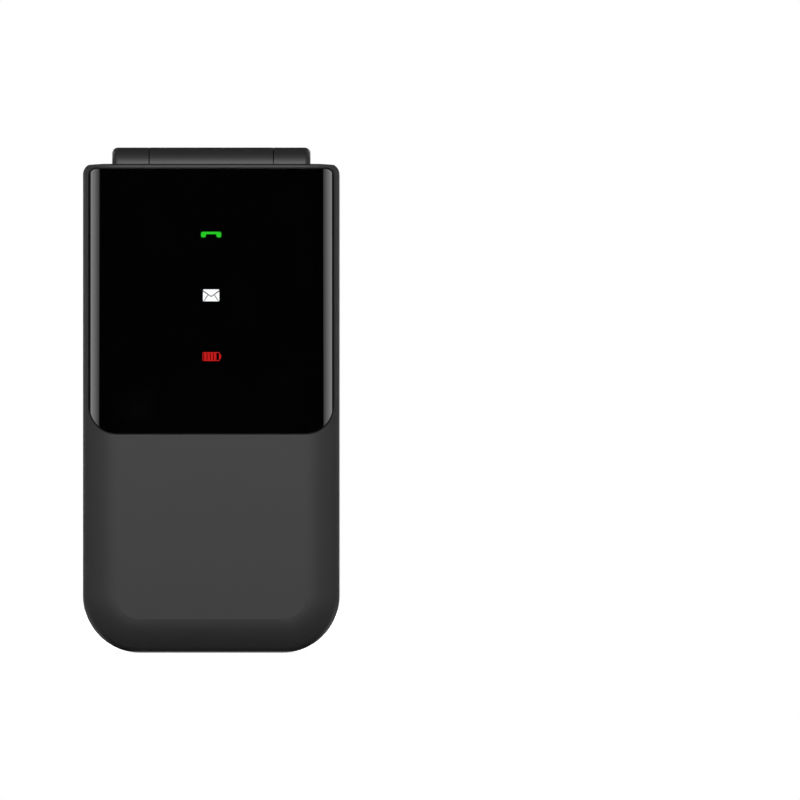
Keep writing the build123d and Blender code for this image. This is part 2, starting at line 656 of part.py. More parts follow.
keypad = slab(outline(edge_inset), base_in, base_edge) - (Pos(0, 0, -edge_inset) * base_top)
keypad -= knuckle_room(-barrel_half - knuckle_clear, barrel_half + knuckle_clear)
keypad -= foot_bevel(base_in, -1)
keypad += slab(outline(wall + 0.1), base_edge, base_in + keypad_cover_thick) & \
    block(-half_w, half_w, -9, 9, 0, base_cavity_top - 0.1)
for x, z in posts:
    keypad += rod_y(x, z, 1.9, base_in + keypad_cover_thick - 0.1, tray_y0)
    keypad -= rod_y(x, z, 0.72, base_in + 0.9, tray_y0 + 1)
for x, z, w, h in plain_keys.values():
    keypad -= slab(key_shape(x, z, w, h, key_clear), base_in - 1, key_under + 0.5)
keypad -= rod_y(0, nav_z, nav_radius + key_clear, base_in - 1, key_under + 0.5)
mic_z, mic_hole = 5.2, 0.5
keypad -= rod_y(0, mic_z, mic_hole, base_in - 1, key_under)
save("keypad_cover", keypad)

sheet_half = half_w - 2.8
sheet_area = rounded(-sheet_half, sheet_half, 0.111 * body_top, body_top - 13.1, 1.5)
mat = slab(sheet_area, mat_y0, mat_y1)
sheet = slab(sheet_area, mat_y1, sheet_y1)
dome_spots = [(x, z) for x, z, w, h in plain_keys.values()]
for x, z in dome_spots:
    mat -= rod_y(x, z, 2.3, mat_y0 - 1, mat_y1 + 1)
mat -= rod_y(0, nav_z, pad_out + 0.25, mat_y0 - 1, mat_y1 + 1)
for x, z in dome_spots + [(0, nav_z)]:
    dome = Pos(x, mat_y1, z) * Rot(90, 0, 0) * Cone(2.0, 1.0, dome_h, align=(Align.CENTER,
                                                                             Align.CENTER, Align.MIN))
    sheet += dome
save("keypad_mat", mat)
save("dome_sheet", sheet)

# ---------------------------------------------------------------------------
# Electronics of the base
# ---------------------------------------------------------------------------
usb_x0, usb_x1 = half_w - 5.7, half_w - 0.08
usb_notch = block(usb_x0 - 0.25, half_w, board_y0 - 1, tray_y1 + 1,
                  usb_centre_z - usb_height / 2 - 0.15, usb_centre_z + usb_height / 2 + 0.15)
board = slab(outline(wall + 0.4), board_y0, board_y1) & \
    block(-half_w, half_w, -9, 9, 0, base_cavity_top - 0.4)
board -= usb_notch
board += block(-1.6, 1.6, key_under + 0.15, board_y0, mic_z - 1.2, mic_z + 1.4)
for x0, x1, high, z0, z1 in ((0.385, 0.615, 0.9, 0.505, 0.585), (-0.69, -0.42, 1.0, 0.828, 0.878)):
    board += block(x0 * half_w, x1 * half_w, board_y1, board_y1 + high,
                   z0 * body_top, z1 * body_top)
for x, z in posts:
    board -= rod_y(x, z, 2.05, -5, 5)
save("main_board", board)

cans = []
can_side, can_step = 0.731 * half_w, 0.231 * half_w
for x0, x1, z0, z1 in ((-can_side, can_side, 0.141 * body_top, 0.424 * body_top),
                       (-can_side, can_step, 0.474 * body_top, 0.787 * body_top)):
    can = slab(rounded(x0, x1, z0, z1, 0.8), board_y1, can_y1)
    can -= slab(rounded(x0 + 0.2, x1 - 0.2, z0 + 0.2, z1 - 0.2, 0.6), board_y1 - 1, can_y1 - 0.2)
    cans.append(can)
save("shield_cans", Compound(children=cans))

usb = usb_bar(usb_x0, usb_x1, -0.25) + usb_bar(half_w - 0.9, usb_x1, 0.0)
usb -= usb_bar(usb_x0 + 0.3, usb_x1 + 1, -0.25 - 0.22)
usb -= usb_bar(half_w - 0.9, usb_x1 + 1, -usb_wall)
tongue_x1 = half_w - 1.0
tongue_plate = block(usb_x0 + 0.3, tongue_x1, usb_centre_y - 0.1, usb_centre_y + 0.5,
                     usb_centre_z - 2.9, usb_centre_z + 2.9)
save("usb_port_shell", usb)
save("usb_port_tongue", tongue_plate)

# Rear tray with the battery bay, the rim that carries the cover, and the trim's lip
cam_half = 3.9
bay_gap, bay_wall, bay_rise = 0.15, 0.8, 2.4
bx, bz0, bz1 = battery_width / 2 + bay_gap, battery_foot - bay_gap, battery_top + bay_gap
above_frame = block(-half_w, half_w, -10, 12, base_cavity_top - 0.1, body_top + 3)
frame_zone = above_frame - behind(frame_off)
tray = slab(outline(wall + 0.1), tray_y0, tray_y1) & \
    block(-half_w, half_w, -9, 9, 0, base_cavity_top - 0.1)
tray -= behind(frame_off - 0.05) - u_slab(rim_inset, -5, 20)
tray += (slab(outline(rim_inset), tray_y1, 8) - behind(skirt_off)) - \
    slab(outline(rim_inset + rim_thick), -5, 9) - frame_zone
tray += (slab(outline(lip_inset), 0, 8) & (behind(trim_off) - behind(skirt_off))) - \
    slab(outline(rim_inset + rim_thick), -5, 9) - frame_zone
bar = block(-half_w + rim_inset, half_w - rim_inset, -3, 8, base_cavity_top + 0.6, body_top + 2)
tray += (bar & behind(frame_off)) - behind(skirt_off) - base_top
tray += slab(rounded(-bx - bay_wall, bx + bay_wall, bz0 - bay_wall, bz1 + bay_wall, 1.2),
             tray_y1, tray_y1 + bay_rise) - \
    slab(rounded(-bx, bx, bz0, bz1, 0.6), tray_y1 - 1, tray_y1 + 9)
tray -= block(-5.2, 5.2, tray_y1, tray_y1 + 4, battery_top - 0.05, battery_top + 1.5)
tray -= block(-cam_half - 0.2, cam_half + 0.2, 0, tray_y1 + 1, camera_z - cam_half - 0.2,
              camera_z + cam_half + 0.2)
tray -= usb_notch
tray -= knuckle_room(-barrel_half - knuckle_clear, barrel_half + knuckle_clear)
for x, z in posts:
    tray -= rod_y(x, z, 0.8, 0, 6)
save("rear_tray", tray)

save("base_screws", Compound(children=[
    screw(x, z, tray_y1 + 0.65, base_in + 1.3, head_t=0.65) for x, z in posts]))

cell = slab(rounded(-battery_width / 2, battery_width / 2, battery_foot, battery_top, 1.0),
            battery_y0, battery_y0 + battery_thick)
cell = chamfer(cell.faces().sort_by(Axis.Y)[-1].edges(), 0.3)
save("battery", cell)
contact = block(-4.8, 4.8, tray_y1, tray_y1 + 2.6, battery_top + 1.2, battery_top + 4.4)
for i in (-1, 0, 1):
    contact += block(i * 2.6 - 0.5, i * 2.6 + 0.5, tray_y1 + 0.9, tray_y1 + 1.9,
                     battery_top + 0.04, battery_top + 1.2)
save("battery_contacts", contact)
sim_z0, sim_high, sim_wall = battery_top + 5.6, 12.0, 0.6
sim_x0, sim_x1 = cam_half + 0.6, 0.692 * half_w
sim = block(sim_x0, sim_x1, tray_y1, tray_y1 + 1.4, sim_z0, sim_z0 + sim_high)
sim -= block(sim_x0 + sim_wall, sim_x1 - sim_wall, tray_y1 + 0.25, tray_y1 + 1.15,
             sim_z0 - 1, sim_z0 + sim_high - sim_wall)
sim -= slab(rounded(sim_x0 + 3, sim_x1 - 3, sim_z0 - 3, sim_z0 + sim_high / 2, 2.0),
            tray_y1 + 0.7, tray_y1 + 2)
save("sim_holder", sim)
motor_radius = 5.0
motor = rod_y(-0.46 * half_w, battery_top + motor_radius + 6.5, motor_radius,
              tray_y1, tray_y1 + 2.7)
motor = chamfer(motor.faces().sort_by(Axis.Y)[-1].edges(), 0.3)
save("vibration_motor", motor)

# ---------------------------------------------------------------------------
# Back cover: side profile, side wings and the sloped camera panel
# ---------------------------------------------------------------------------
arc_a, arc_b = (back_y, shoulder_rise), (back_y - 1.9, body_top - 7.4)
arc_c = (back_y - 5.6, body_top)


def circle_of(p, q, r):
    (ax, ay), (mx, my), (cx, cy) = p, q, r
    d = 2 * (ax * (my - cy) + mx * (cy - ay) + cx * (ay - my))
    a2, m2, c2 = ax * ax + ay * ay, mx * mx + my * my, cx * cx + cy * cy
    ux = (a2 * (my - cy) + m2 * (cy - ay) + c2 * (ay - my)) / d
    uy = (a2 * (cx - mx) + m2 * (ax - cx) + c2 * (mx - ax)) / d
    return ux, uy, math.hypot(ax - ux, ay - uy)


top_cy, top_cz, top_r = circle_of(arc_a, arc_b, arc_c)
foot_cy, foot_cz = back_y - foot_crown_radius, foot_crown_rise


def back_at(z, drop=0.0):
    """Depth of the cover's middle line at height z."""
    if z < foot_cz:
        r = foot_crown_radius - drop
        return foot_cy + math.sqrt(max(r * r - (foot_cz - z) ** 2, 0.3))
    r = top_r - drop
    on = top_cy + math.sqrt(max(r * r - (z - top_cz) ** 2, 0.3)) if z > top_cz else 99.0
    return min(back_y - drop, on)


def back_zone(drop):
    """All space in front of the cover's middle line lowered by drop."""
    r, rf, low = top_r - drop, foot_crown_radius - drop, math.radians(70)
    z_s = top_cz + math.sqrt(r * r - (back_y - drop - top_cy) ** 2)
    z_e = body_top + 3
    z_m = (z_s + z_e) / 2
    arc_end = (foot_cy + rf * math.cos(low), foot_cz - rf * math.sin(low))
    edges = [Polyline((back_y - drop, foot_cz), (back_y - drop, z_s)),
             ThreePointArc((back_y - drop, z_s), (back_at(z_m, drop), z_m),
                           (back_at(z_e, drop), z_e)),
             Polyline((back_at(z_e, drop), z_e), (-12, z_e), (-12, arc_end[1]), arc_end),
             ThreePointArc(arc_end, (foot_cy + rf * math.cos(low / 2),
                                     foot_cz - rf * math.sin(low / 2)), (back_y - drop, foot_cz))]
    return extrude(Plane.YZ * make_face(edges), amount=half_w + 3, both=True)


def blend(z, table):
    """Straight interpolation in a short (z, value) table."""
    for (z0, v0), (z1, v1) in zip(table, table[1:]):
        if z <= z1:
            return v0 + (v1 - v0) * max(z - z0, 0) / (z1 - z0)
    return table[-1][1]


def from_top(table):
    """Turns (distance below the top edge, value) pairs into (height, value) pairs."""
    return [(body_top - d, v) for d, v in table]


# Outward growth of the ridge line, and the fall and the share of its band, by distance
# below the top edge of the casing
wing_full = body_top - 27.1
ridge_line = [(0, wing_ridge)] + from_top([
    (27.1, wing_ridge + 0.05), (21.1, wing_ridge + 0.1), (17.1, wing_ridge + 0.25),
    (14.6, wing_ridge + 0.5), (12.3, wing_ridge + 0.85), (9.8, wing_ridge + 1.5),
    (7.3, wing_ridge + 2.2), (4.1, wing_ridge + 3.0), (0.4, wing_ridge + 3.8),
    (-1.9, wing_ridge + 4.2)])
wing_fall = [(0, wing_drop)] + from_top([(14.1, wing_drop), (7.4, 0.75 * wing_drop),
                                         (1.7, 0.65 * wing_drop), (-1.9, 0.65 * wing_drop)])
band_grow = [(0, 0.0), (wing_tip, 0.0), (wing_full, 1.0)] + from_top([(9.1, 1.0), (-1.9, 0.7)])
foot_levels = [0.045, 0.16, 0.25, 0.364, 0.511, 0.705, 1.0]
wing_levels = [f * foot_crown_rise for f in foot_levels] + [wing_tip + f * (wing_full - wing_tip)
                                                            for f in (0, 0.35, 0.62, 1)]
wing_levels += [body_top - d for d in (21.1, 17.1, 15.1, 13.6, 12.1, 9.8, 7.3, 5.1, 2.6, 0.4, -1.9)]
inner_levels = [f * foot_crown_rise for f in foot_levels if f not in (0.25, 0.511, 0.705)]
inner_levels += [body_top - d for d in (27.1, 15.1, 12.1, 7.3, 2.6, -1.9)]


def wing_cut(side, drop, levels):
    sections = []
    reach = half_w + 4
    for z in levels:
        y = back_at(z, 0.0) - drop
        x = blend(z, ridge_line)
        g = blend(z, band_grow)
        band, step = max(wing_band * g, 0.02), max(wing_step * g, 0.004)
        edge = half_w - cover_inset
        fall = blend(z, wing_fall) - step
        slope = fall / (edge - x - band) if edge - x - band > 0.5 else fall / 0.5
        pts = [(side * x, y), (side * (x + band), y - step),
               (side * reach, y - step - slope * (reach - x - band)),
               (side * reach, y + 6), (side * x, y + 6)]
        sections.append(make_face(Plane.XY.offset(z) * Polyline(*pts, close=True)))
    return loft(sections, ruled=True)


tilt = math.tan(math.radians(panel_slope))
panel_y = back_y - panel_step


def panel_at(z):
    return panel_y - (z - panel_foot) * tilt


def panel_cut(drop):
    low, high = panel_foot - 23, body_top + 13
    zone = prism_x([(panel_at(low) - drop, low), (30, low), (30, high), (panel_at(high) - drop, high)])
    return zone & slab(rounded(-panel_half, panel_half, panel_foot, high + 13, panel_corner), -30, 30)


def panel_rod(x, z, r, d0, d1):
    """Round bar square to the camera panel, d measured up from its face."""
    a = math.radians(panel_slope)
    plane = Plane(origin=(x, panel_at(z), z), x_dir=(1, 0, 0),
                  z_dir=(0, math.cos(a), math.sin(a)))
    return plane * Pos(0, 0, (d0 + d1) / 2) * Cylinder(r, d1 - d0)


def cover_outline(inset):
    return outline(inset, z1=body_top + inset)


def cover_body(inset, drop, off, levels):
    body = (slab(cover_outline(inset), 0, 12) & behind(off)) & back_zone(drop)
    for side in (-1, 1):
        body -= wing_cut(side, drop, levels)
    return body - panel_cut(drop)


cover = cover_body(cover_inset, 0.0, skirt_off, wing_levels)
hollow = cover_body(rim_inset, cover_wall, skirt_off - 3, inner_levels) & \
    block(-half_w, half_w, -5, 12, 0, body_top - 2.5)
cover = cover - hollow - base_top
cover -= knuckle_room(-half_w, half_w)
bezel_depth, cover_fit = 1.5, 0.02
cover -= panel_rod(0, camera_z, camera_ring + cover_fit, -3, 4)
cover -= panel_rod(flash_x, camera_z, flash_ring + cover_fit, -3, 4)
save("back_cover", cover)

bezel = panel_rod(0, camera_z, camera_ring, -bezel_depth, 0.12)
bezel -= panel_rod(0, camera_z, camera_glass + 0.02, -0.7, 1)
bezel -= panel_rod(0, camera_z, 2.2, -3, 1)
save("camera_bezel", bezel)
save("camera_window", panel_rod(0, camera_z, camera_glass, -0.7, 0.0) -
     panel_rod(0, camera_z, 1.52, -0.3, 1))
eye = panel_rod(0, camera_z, 1.5, -0.3, -0.02)
eye += panel_rod(0, camera_z, 0.9, -0.1, 0.08)
save("camera_lens", eye)
flash = panel_rod(flash_x, camera_z, flash_ring, -bezel_depth, 0.08)
flash -= panel_rod(flash_x, camera_z, flash_glass + 0.02, -1.1, 1)
save("flash_ring", flash)
save("flash_lens", panel_rod(flash_x, camera_z, flash_glass, -1.1, 0.02))
module = slab(rounded(-cam_half, cam_half, camera_z - cam_half, camera_z + cam_half, 0.4),
              board_y1, tray_y1 + 0.4)
module += rod_y(0, camera_z, 3.0, tray_y1 + 0.4, 5.2)
module -= rod_y(0, camera_z, 1.2, 4.6, 6)
save("camera_module", module)
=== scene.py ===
import logging
import math
from dataclasses import dataclass, field, replace
from enum import Enum
from functools import cache

import bmesh
import bpy
from mathutils import Matrix, Vector


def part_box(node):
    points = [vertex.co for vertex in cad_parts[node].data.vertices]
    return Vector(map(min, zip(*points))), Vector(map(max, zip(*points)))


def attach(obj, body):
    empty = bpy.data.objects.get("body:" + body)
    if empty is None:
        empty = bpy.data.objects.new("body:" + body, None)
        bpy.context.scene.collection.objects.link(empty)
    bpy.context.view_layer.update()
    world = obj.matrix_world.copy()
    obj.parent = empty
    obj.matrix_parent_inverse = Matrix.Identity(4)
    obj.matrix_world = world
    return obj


logging.basicConfig(level=logging.INFO, format="%(name)s: %(message)s")
log = logging.getLogger("flip_phone")

MM = 0.001       # metres in a millimetre
WELD = 1e-7      # metres within which two corners become one
FAR = 1000.0     # millimetres, past the phone on every side
WIRE_STEPS = 10  # sides of a ring's wire
Point = tuple[float, float]
Triple = tuple[float, float, float]
Colour = Triple

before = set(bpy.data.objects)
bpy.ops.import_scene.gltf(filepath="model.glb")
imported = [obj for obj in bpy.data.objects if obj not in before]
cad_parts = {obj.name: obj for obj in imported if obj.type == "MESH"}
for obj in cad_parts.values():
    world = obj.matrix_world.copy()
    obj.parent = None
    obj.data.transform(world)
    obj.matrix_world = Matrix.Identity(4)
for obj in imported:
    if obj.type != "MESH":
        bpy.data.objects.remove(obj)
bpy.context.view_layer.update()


# ---------------------------------------------------------------------------
# Node trees
# ---------------------------------------------------------------------------
def feed(node: bpy.types.Node, feeds: dict[str | int, object]) -> None:
    """Feeds a node's inputs.

    Args:
        node: The node.
        feeds: What each input gets, by its name or number. An output of another
            node is linked, and anything else becomes the input's own value.
    """
    for spot, source in feeds.items():
        if isinstance(source, bpy.types.NodeSocket):
            node.id_data.links.new(source, node.inputs[spot])
        else:
            node.inputs[spot].default_value = source


def add_node(tree: bpy.types.NodeTree, kind: str, feeds: dict[str | int, object],
             **options: object) -> bpy.types.Node:
    """Adds one node to a tree.

    Args:
        tree: The tree.
        kind: The node's type.
        feeds: What its inputs get, as in feed.
        **options: Its own settings, such as its operation.

    Returns:
        The new node.
    """
    node = tree.nodes.new(kind)
    for option, choice in options.items():
        setattr(node, option, choice)
    feed(node, feeds)
    return node


def add_math(tree: bpy.types.NodeTree, operation: str, *feeds: object) -> bpy.types.NodeSocket:
    """Adds a Math node whose inputs are fed in order, and hands back its result."""
    return add_node(tree, "ShaderNodeMath", dict(enumerate(feeds)), operation=operation).outputs[0]


def add_vector_math(tree: bpy.types.NodeTree, operation: str,
                    *feeds: object) -> bpy.types.NodeSocket:
    """Adds a Vector Math node whose inputs are fed in order, and hands back its vector."""
    return add_node(tree, "ShaderNodeVectorMath", dict(enumerate(feeds)),
                    operation=operation).outputs[0]


def add_colour_mix(tree: bpy.types.NodeTree, share: object, first: object,
                   second: object) -> bpy.types.NodeSocket:
    """Adds a Mix node for colours. Its colour sockets are 6, 7 and, going out, 2.

    Args:
        tree: The tree.
        share: How much of the second colour shows, 0 to 1.
        first: The first colour.
        second: The second colour.

    Returns:
        The mixed colour.
    """
    return add_node(tree, "ShaderNodeMix", {0: share, 6: first, 7: second},
                    data_type="RGBA").outputs[2]


def object_position(tree: bpy.types.NodeTree) -> bpy.types.NodeSocket:
    """Adds the Object coordinates that every pattern is read from."""
    return add_node(tree, "ShaderNodeTexCoord", {}).outputs["Object"]


def begin_tree(name: str, kind: str, takes: dict[str, str],
               gives: dict[str, str]) -> tuple[bpy.types.NodeTree, bpy.types.NodeOutputs]:
    """Starts a node group with named inputs and outputs.

    Args:
        name: The group's name.
        kind: ShaderNodeTree or GeometryNodeTree.
        takes: Type of each input, such as Float, by its name.
        gives: Type of each output by its name.

    Returns:
        The group, and the sockets that hand out its inputs.
    """
    tree = bpy.data.node_groups.new(name, kind)
    for way, sockets in (("INPUT", takes), ("OUTPUT", gives)):
        for label, value in sockets.items():
            tree.interface.new_socket(label, in_out=way, socket_type="NodeSocket" + value)
    return tree, tree.nodes.new("NodeGroupInput").outputs


# ---------------------------------------------------------------------------
# Finishes
# ---------------------------------------------------------------------------
class Texture(Enum):
    """How a surface is broken up."""

    MOULDED = "moulded"
    BRUSHED = "brushed"
    POLISHED = "polished"
    LIT = "lit"


RELIEF: dict[Texture, float] = {Texture.MOULDED: 0.6, Texture.BRUSHED: 0.5,
                                Texture.POLISHED: 0.0, Texture.LIT: 0.3}


@dataclass(frozen=True)
class Finish:
    """One finish: its colour, its shine and the size of its grain.

    Lengths are millimetres; colours are linear.
    """

    name: str
    colour: Colour
    roughness: float
    metallic: float = 0.0
    coat: float = 0.0
    coat_roughness: float = 0.03
    specular: float = 0.5
    texture: Texture = Texture.MOULDED
    grain_size: float = 0.35
    grain_depth: float = 0.004
    tone_swing: float = 0.06
    rough_swing: float = 0.05
    glow: float = 0.0
    smudge: float = 0.0
    stretch: Triple = (1.0, 1.0, 1.0)


BROAD_SCALE = 90.0         # broad tone patches, per metre
BROAD_SHARE = 0.45         # their part of the tone; the rest is the grain's
PATCH_SCALE = 110.0        # finger patches, per metre
PATCH_EDGE = (0.52, 0.72)  # noise levels between which a finger patch fades in


@cache
def surface_grain_group() -> bpy.types.NodeTree:
    """Builds the grain that every finish shares, once.

    Returns:
        A shader node group that turns a position into Tone and Height.
    """
    group, given = begin_tree("SurfaceGrain", "ShaderNodeTree", {
        "Position": "Vector", "Grain Scale": "Float", "Broad Scale": "Float",
        "Broad Share": "Float"}, {"Tone": "Float", "Height": "Float"})
    fine, wide = (add_node(group, "ShaderNodeTexNoise", {
        "Vector": given["Position"], "Scale": given[scale], "Detail": detail}).outputs["Fac"]
        for scale, detail in (("Grain Scale", 2.0), ("Broad Scale", 3.0)))
    tone = add_node(group, "ShaderNodeMix", {0: given["Broad Share"], 2: fine, 3: wide},
                    data_type="FLOAT")
    add_node(group, "NodeGroupOutput", {"Tone": tone.outputs[0], "Height": fine})
    return group


@cache
def handling_marks_group() -> bpy.types.NodeTree:
    """Builds the faint patches that fingers leave on gloss, once.

    Returns:
        A shader node group that turns a position into Smudge, from 0 to Amount.
    """
    group, given = begin_tree("HandlingMarks", "ShaderNodeTree", {
        "Position": "Vector", "Patch Scale": "Float", "Amount": "Float"}, {"Smudge": "Float"})
    patches = add_node(group, "ShaderNodeTexNoise", {
        "Vector": given["Position"], "Scale": given["Patch Scale"], "Detail": 3.0,
        "Distortion": 0.8})
    edge = add_node(group, "ShaderNodeMapRange", {
        "Value": patches.outputs["Fac"], "From Min": PATCH_EDGE[0], "From Max": PATCH_EDGE[1]},
        interpolation_type="SMOOTHSTEP")
    smudge = add_math(group, "MULTIPLY", edge.outputs["Result"], given["Amount"])
    add_node(group, "NodeGroupOutput", {"Smudge": smudge})
    return group


@cache
def make_material(finish: Finish) -> bpy.types.Material:
    """Turns a finish into a material.

    Args:
        finish: The finish to build.

    Returns:
        The material, built on the first call and reused after it.
    """
    material = bpy.data.materials.new(finish.name)
    material.use_nodes = True
    tree = material.node_tree
    shader = tree.nodes["Principled BSDF"]
    place = object_position(tree)
    mapping = add_node(tree, "ShaderNodeMapping", {"Vector": place, "Scale": finish.stretch})
    grain = add_node(tree, "ShaderNodeGroup", {
        "Position": mapping.outputs["Vector"], "Grain Scale": 1.0 / (finish.grain_size * MM),
        "Broad Scale": BROAD_SCALE, "Broad Share": BROAD_SHARE},
        node_tree=surface_grain_group()).outputs

    low, high = ([min(c * (1 + swing), 1.0) for c in finish.colour] + [1.0]
                 for swing in (-finish.tone_swing, finish.tone_swing))
    tint = add_colour_mix(tree, grain["Tone"], low, high)

    rough = add_node(tree, "ShaderNodeMapRange", {
        "Value": grain["Tone"], "To Min": max(finish.roughness - finish.rough_swing, 0.0),
        "To Max": min(finish.roughness + finish.rough_swing, 1.0)}).outputs["Result"]
    if finish.smudge > 0:
        marks = add_node(tree, "ShaderNodeGroup", {
            "Position": place, "Patch Scale": PATCH_SCALE, "Amount": finish.smudge},
            node_tree=handling_marks_group())
        rough = add_math(tree, "ADD", rough, marks.outputs["Smudge"])

    feed(shader, {"Base Color": tint, "Roughness": rough, "Metallic": finish.metallic,
                  "Specular IOR Level": finish.specular, "Coat Weight": finish.coat,
                  "Coat Roughness": finish.coat_roughness})
    if RELIEF[finish.texture] > 0 and finish.grain_depth > 0:
        bump = add_node(tree, "ShaderNodeBump", {
            "Height": grain["Height"], "Strength": RELIEF[finish.texture],
            "Distance": finish.grain_depth * MM})
        feed(shader, {"Normal": bump.outputs["Normal"]})
    if finish.glow > 0:
        feed(shader, {"Emission Color": tint, "Emission Strength": finish.glow})
    return material


FLIP_CASING = Finish("flip_casing_lacquer", (0.019, 0.019, 0.0198), 0.5,
                     grain_size=0.22, grain_depth=0.003)
BASE_CASING = replace(FLIP_CASING, name="base_casing_lacquer")
LENS_GLOSS = Finish("front_lens_gloss", (0.0006, 0.0006, 0.0007), 0.035, specular=1.0, coat=1.0,
                    texture=Texture.POLISHED, rough_swing=0.01, smudge=0.03)
COVER_GLOSS = Finish("back_cover_gloss", (0.0006, 0.0006, 0.0007), 0.05,
                     texture=Texture.POLISHED, rough_swing=0.015, smudge=0.06)
INNER_GLOSS = Finish("inner_cover_gloss", (0.004, 0.004, 0.0045), 0.12, grain_depth=0.0,
                     smudge=0.08)
SILVER_TRIM = Finish("trim_satin_silver", (0.50, 0.51, 0.53), 0.3, metallic=0.75,
                     grain_size=0.12, grain_depth=0.0008, tone_swing=0.04)
GREEN_LIGHT = Finish("icon_green", (0.006, 0.28, 0.005), 0.4, specular=0.08, texture=Texture.LIT,
                     glow=0.85)
WHITE_LIGHT = Finish("icon_white", (0.55, 0.56, 0.57), 0.4, specular=0.12, texture=Texture.LIT,
                     glow=0.85, tone_swing=0.03)
RED_LIGHT = Finish("icon_red", (0.265, 0.001, 0.001), 0.4, specular=0.08, texture=Texture.LIT,
                   glow=0.85)
WINDOW_GLOSS = Finish("display_window_gloss", (0.003, 0.003, 0.004), 0.02,
                      texture=Texture.POLISHED, rough_swing=0.005, smudge=0.04)
DISPLAY_STACK = Finish("display_stack", (0.02, 0.024, 0.03), 0.15, grain_depth=0.0)
BOARD_GREEN = Finish("board_solder_resist", (0.01, 0.085, 0.03), 0.35, grain_size=0.5,
                     tone_swing=0.25)
LED_EPOXY = Finish("led_epoxy", (0.8, 0.8, 0.72), 0.3, coat=0.5)
ETCHED_MESH = Finish("etched_mesh", (0.12, 0.12, 0.125), 0.4, metallic=0.9, grain_size=0.1)
SPEAKER_BLACK = Finish("speaker_cap", (0.02, 0.02, 0.021), 0.6)
SCREW_ZINC = Finish("screw_black_zinc", (0.16, 0.16, 0.17), 0.35, metallic=0.9,
                    texture=Texture.BRUSHED, grain_size=0.1)
SOFT_RUBBER = Finish("soft_rubber", (0.012, 0.012, 0.012), 0.8, grain_size=0.3)
# Near-black and almost unreflective: painted shade, for the rings in the barrel's joint lines.
JOINT_SHADE_BLACK = Finish("joint_shade_black", (0.0012, 0.0012, 0.0012), 0.9, specular=0.02,
                    grain_depth=0.0)
TURNED_STEEL = Finish("turned_steel", (0.5, 0.5, 0.51), 0.28, metallic=1.0,
                      texture=Texture.BRUSHED, grain_size=0.15, stretch=(6.0, 1.0, 1.0))
SPRING_WIRE = Finish("spring_wire", (0.35, 0.35, 0.36), 0.3, metallic=1.0, grain_size=0.1)
FLEX_FILM = Finish("flex_amber_film", (0.42, 0.16, 0.03), 0.3, coat=0.4, grain_depth=0.0)
MAT_SILICONE = Finish("mat_silicone", (0.2, 0.2, 0.21), 0.6, grain_size=0.4)
DOME_FILM = Finish("dome_film", (0.5, 0.5, 0.46), 0.35, grain_depth=0.001)
TINNED_PLATE = Finish("tinned_plate", (0.56, 0.56, 0.54), 0.32, metallic=1.0,
                      texture=Texture.BRUSHED, grain_size=0.2, stretch=(1.0, 1.0, 4.0))
PORT_NICKEL = Finish("port_nickel", (0.72, 0.71, 0.69), 0.22, metallic=1.0, grain_size=0.12,
                     grain_depth=0.0006)
TONGUE_BLACK = Finish("tongue_black", (0.01, 0.01, 0.01), 0.5)
TRAY_BLACK = Finish("tray_black", (0.016, 0.016, 0.017), 0.6, grain_size=0.3,
                    grain_depth=0.006)
CELL_WRAP = Finish("cell_wrap", (0.05, 0.055, 0.065), 0.4, coat=0.2, grain_size=0.5)
CAMERA_BLACK = Finish("camera_black", (0.008, 0.008, 0.008), 0.5)
BEZEL_BLACK = Finish("bezel_black", (0.0015, 0.0015, 0.0015), 0.3, specular=0.06, grain_depth=0.0)
CAMERA_GLASS = Finish("camera_glass", (0.004, 0.004, 0.006), 0.02, texture=Texture.POLISHED,
                      rough_swing=0.005)
LENS_COATING = Finish("lens_coating", (0.012, 0.02, 0.06), 0.05, coat=1.0,
                      texture=Texture.POLISHED, rough_swing=0.01)
FLASH_DIFFUSER = Finish("flash_diffuser", (0.86, 0.84, 0.66), 0.35, coat=0.8,
                        grain_size=0.25, grain_depth=0.01, tone_swing=0.12)
KEY_BLACK = Finish("key_satin_black", (0.02, 0.02, 0.021), 0.35, coat=0.15, grain_size=0.2,
                   grain_depth=0.002)
NAV_SILVER = Finish("nav_satin_silver", (0.32, 0.325, 0.335), 0.3, metallic=0.8,
                    texture=Texture.BRUSHED, grain_size=0.15, grain_depth=0.001)
PAD_GREY = Finish("pad_moulding", (0.06, 0.06, 0.06), 0.6)
GOLD_PLATE = Finish("contact_gold", (0.83, 0.55, 0.18), 0.25, metallic=1.0, grain_size=0.1,
                    grain_depth=0.0005)
LEGEND_WHITE = Finish("legend_white", (0.78, 0.8, 0.82), 0.45, grain_depth=0.0)
LEGEND_GREEN = Finish("legend_green", (0.02, 0.42, 0.05), 0.45, grain_depth=0.0)
LEGEND_RED = Finish("legend_red", (0.5, 0.012, 0.012), 0.45, grain_depth=0.0)
LIGHT_RIM = Finish("camera_light_rim", (0.28, 0.285, 0.29), 0.25, metallic=0.9,
                   grain_depth=0.0)
LENS_RING = Finish("camera_inner_ring", (0.18, 0.18, 0.19), 0.3, metallic=0.6,
                   grain_depth=0.0)
ARROW_INK = Finish("arrow_ink", (0.012, 0.012, 0.013), 0.45)


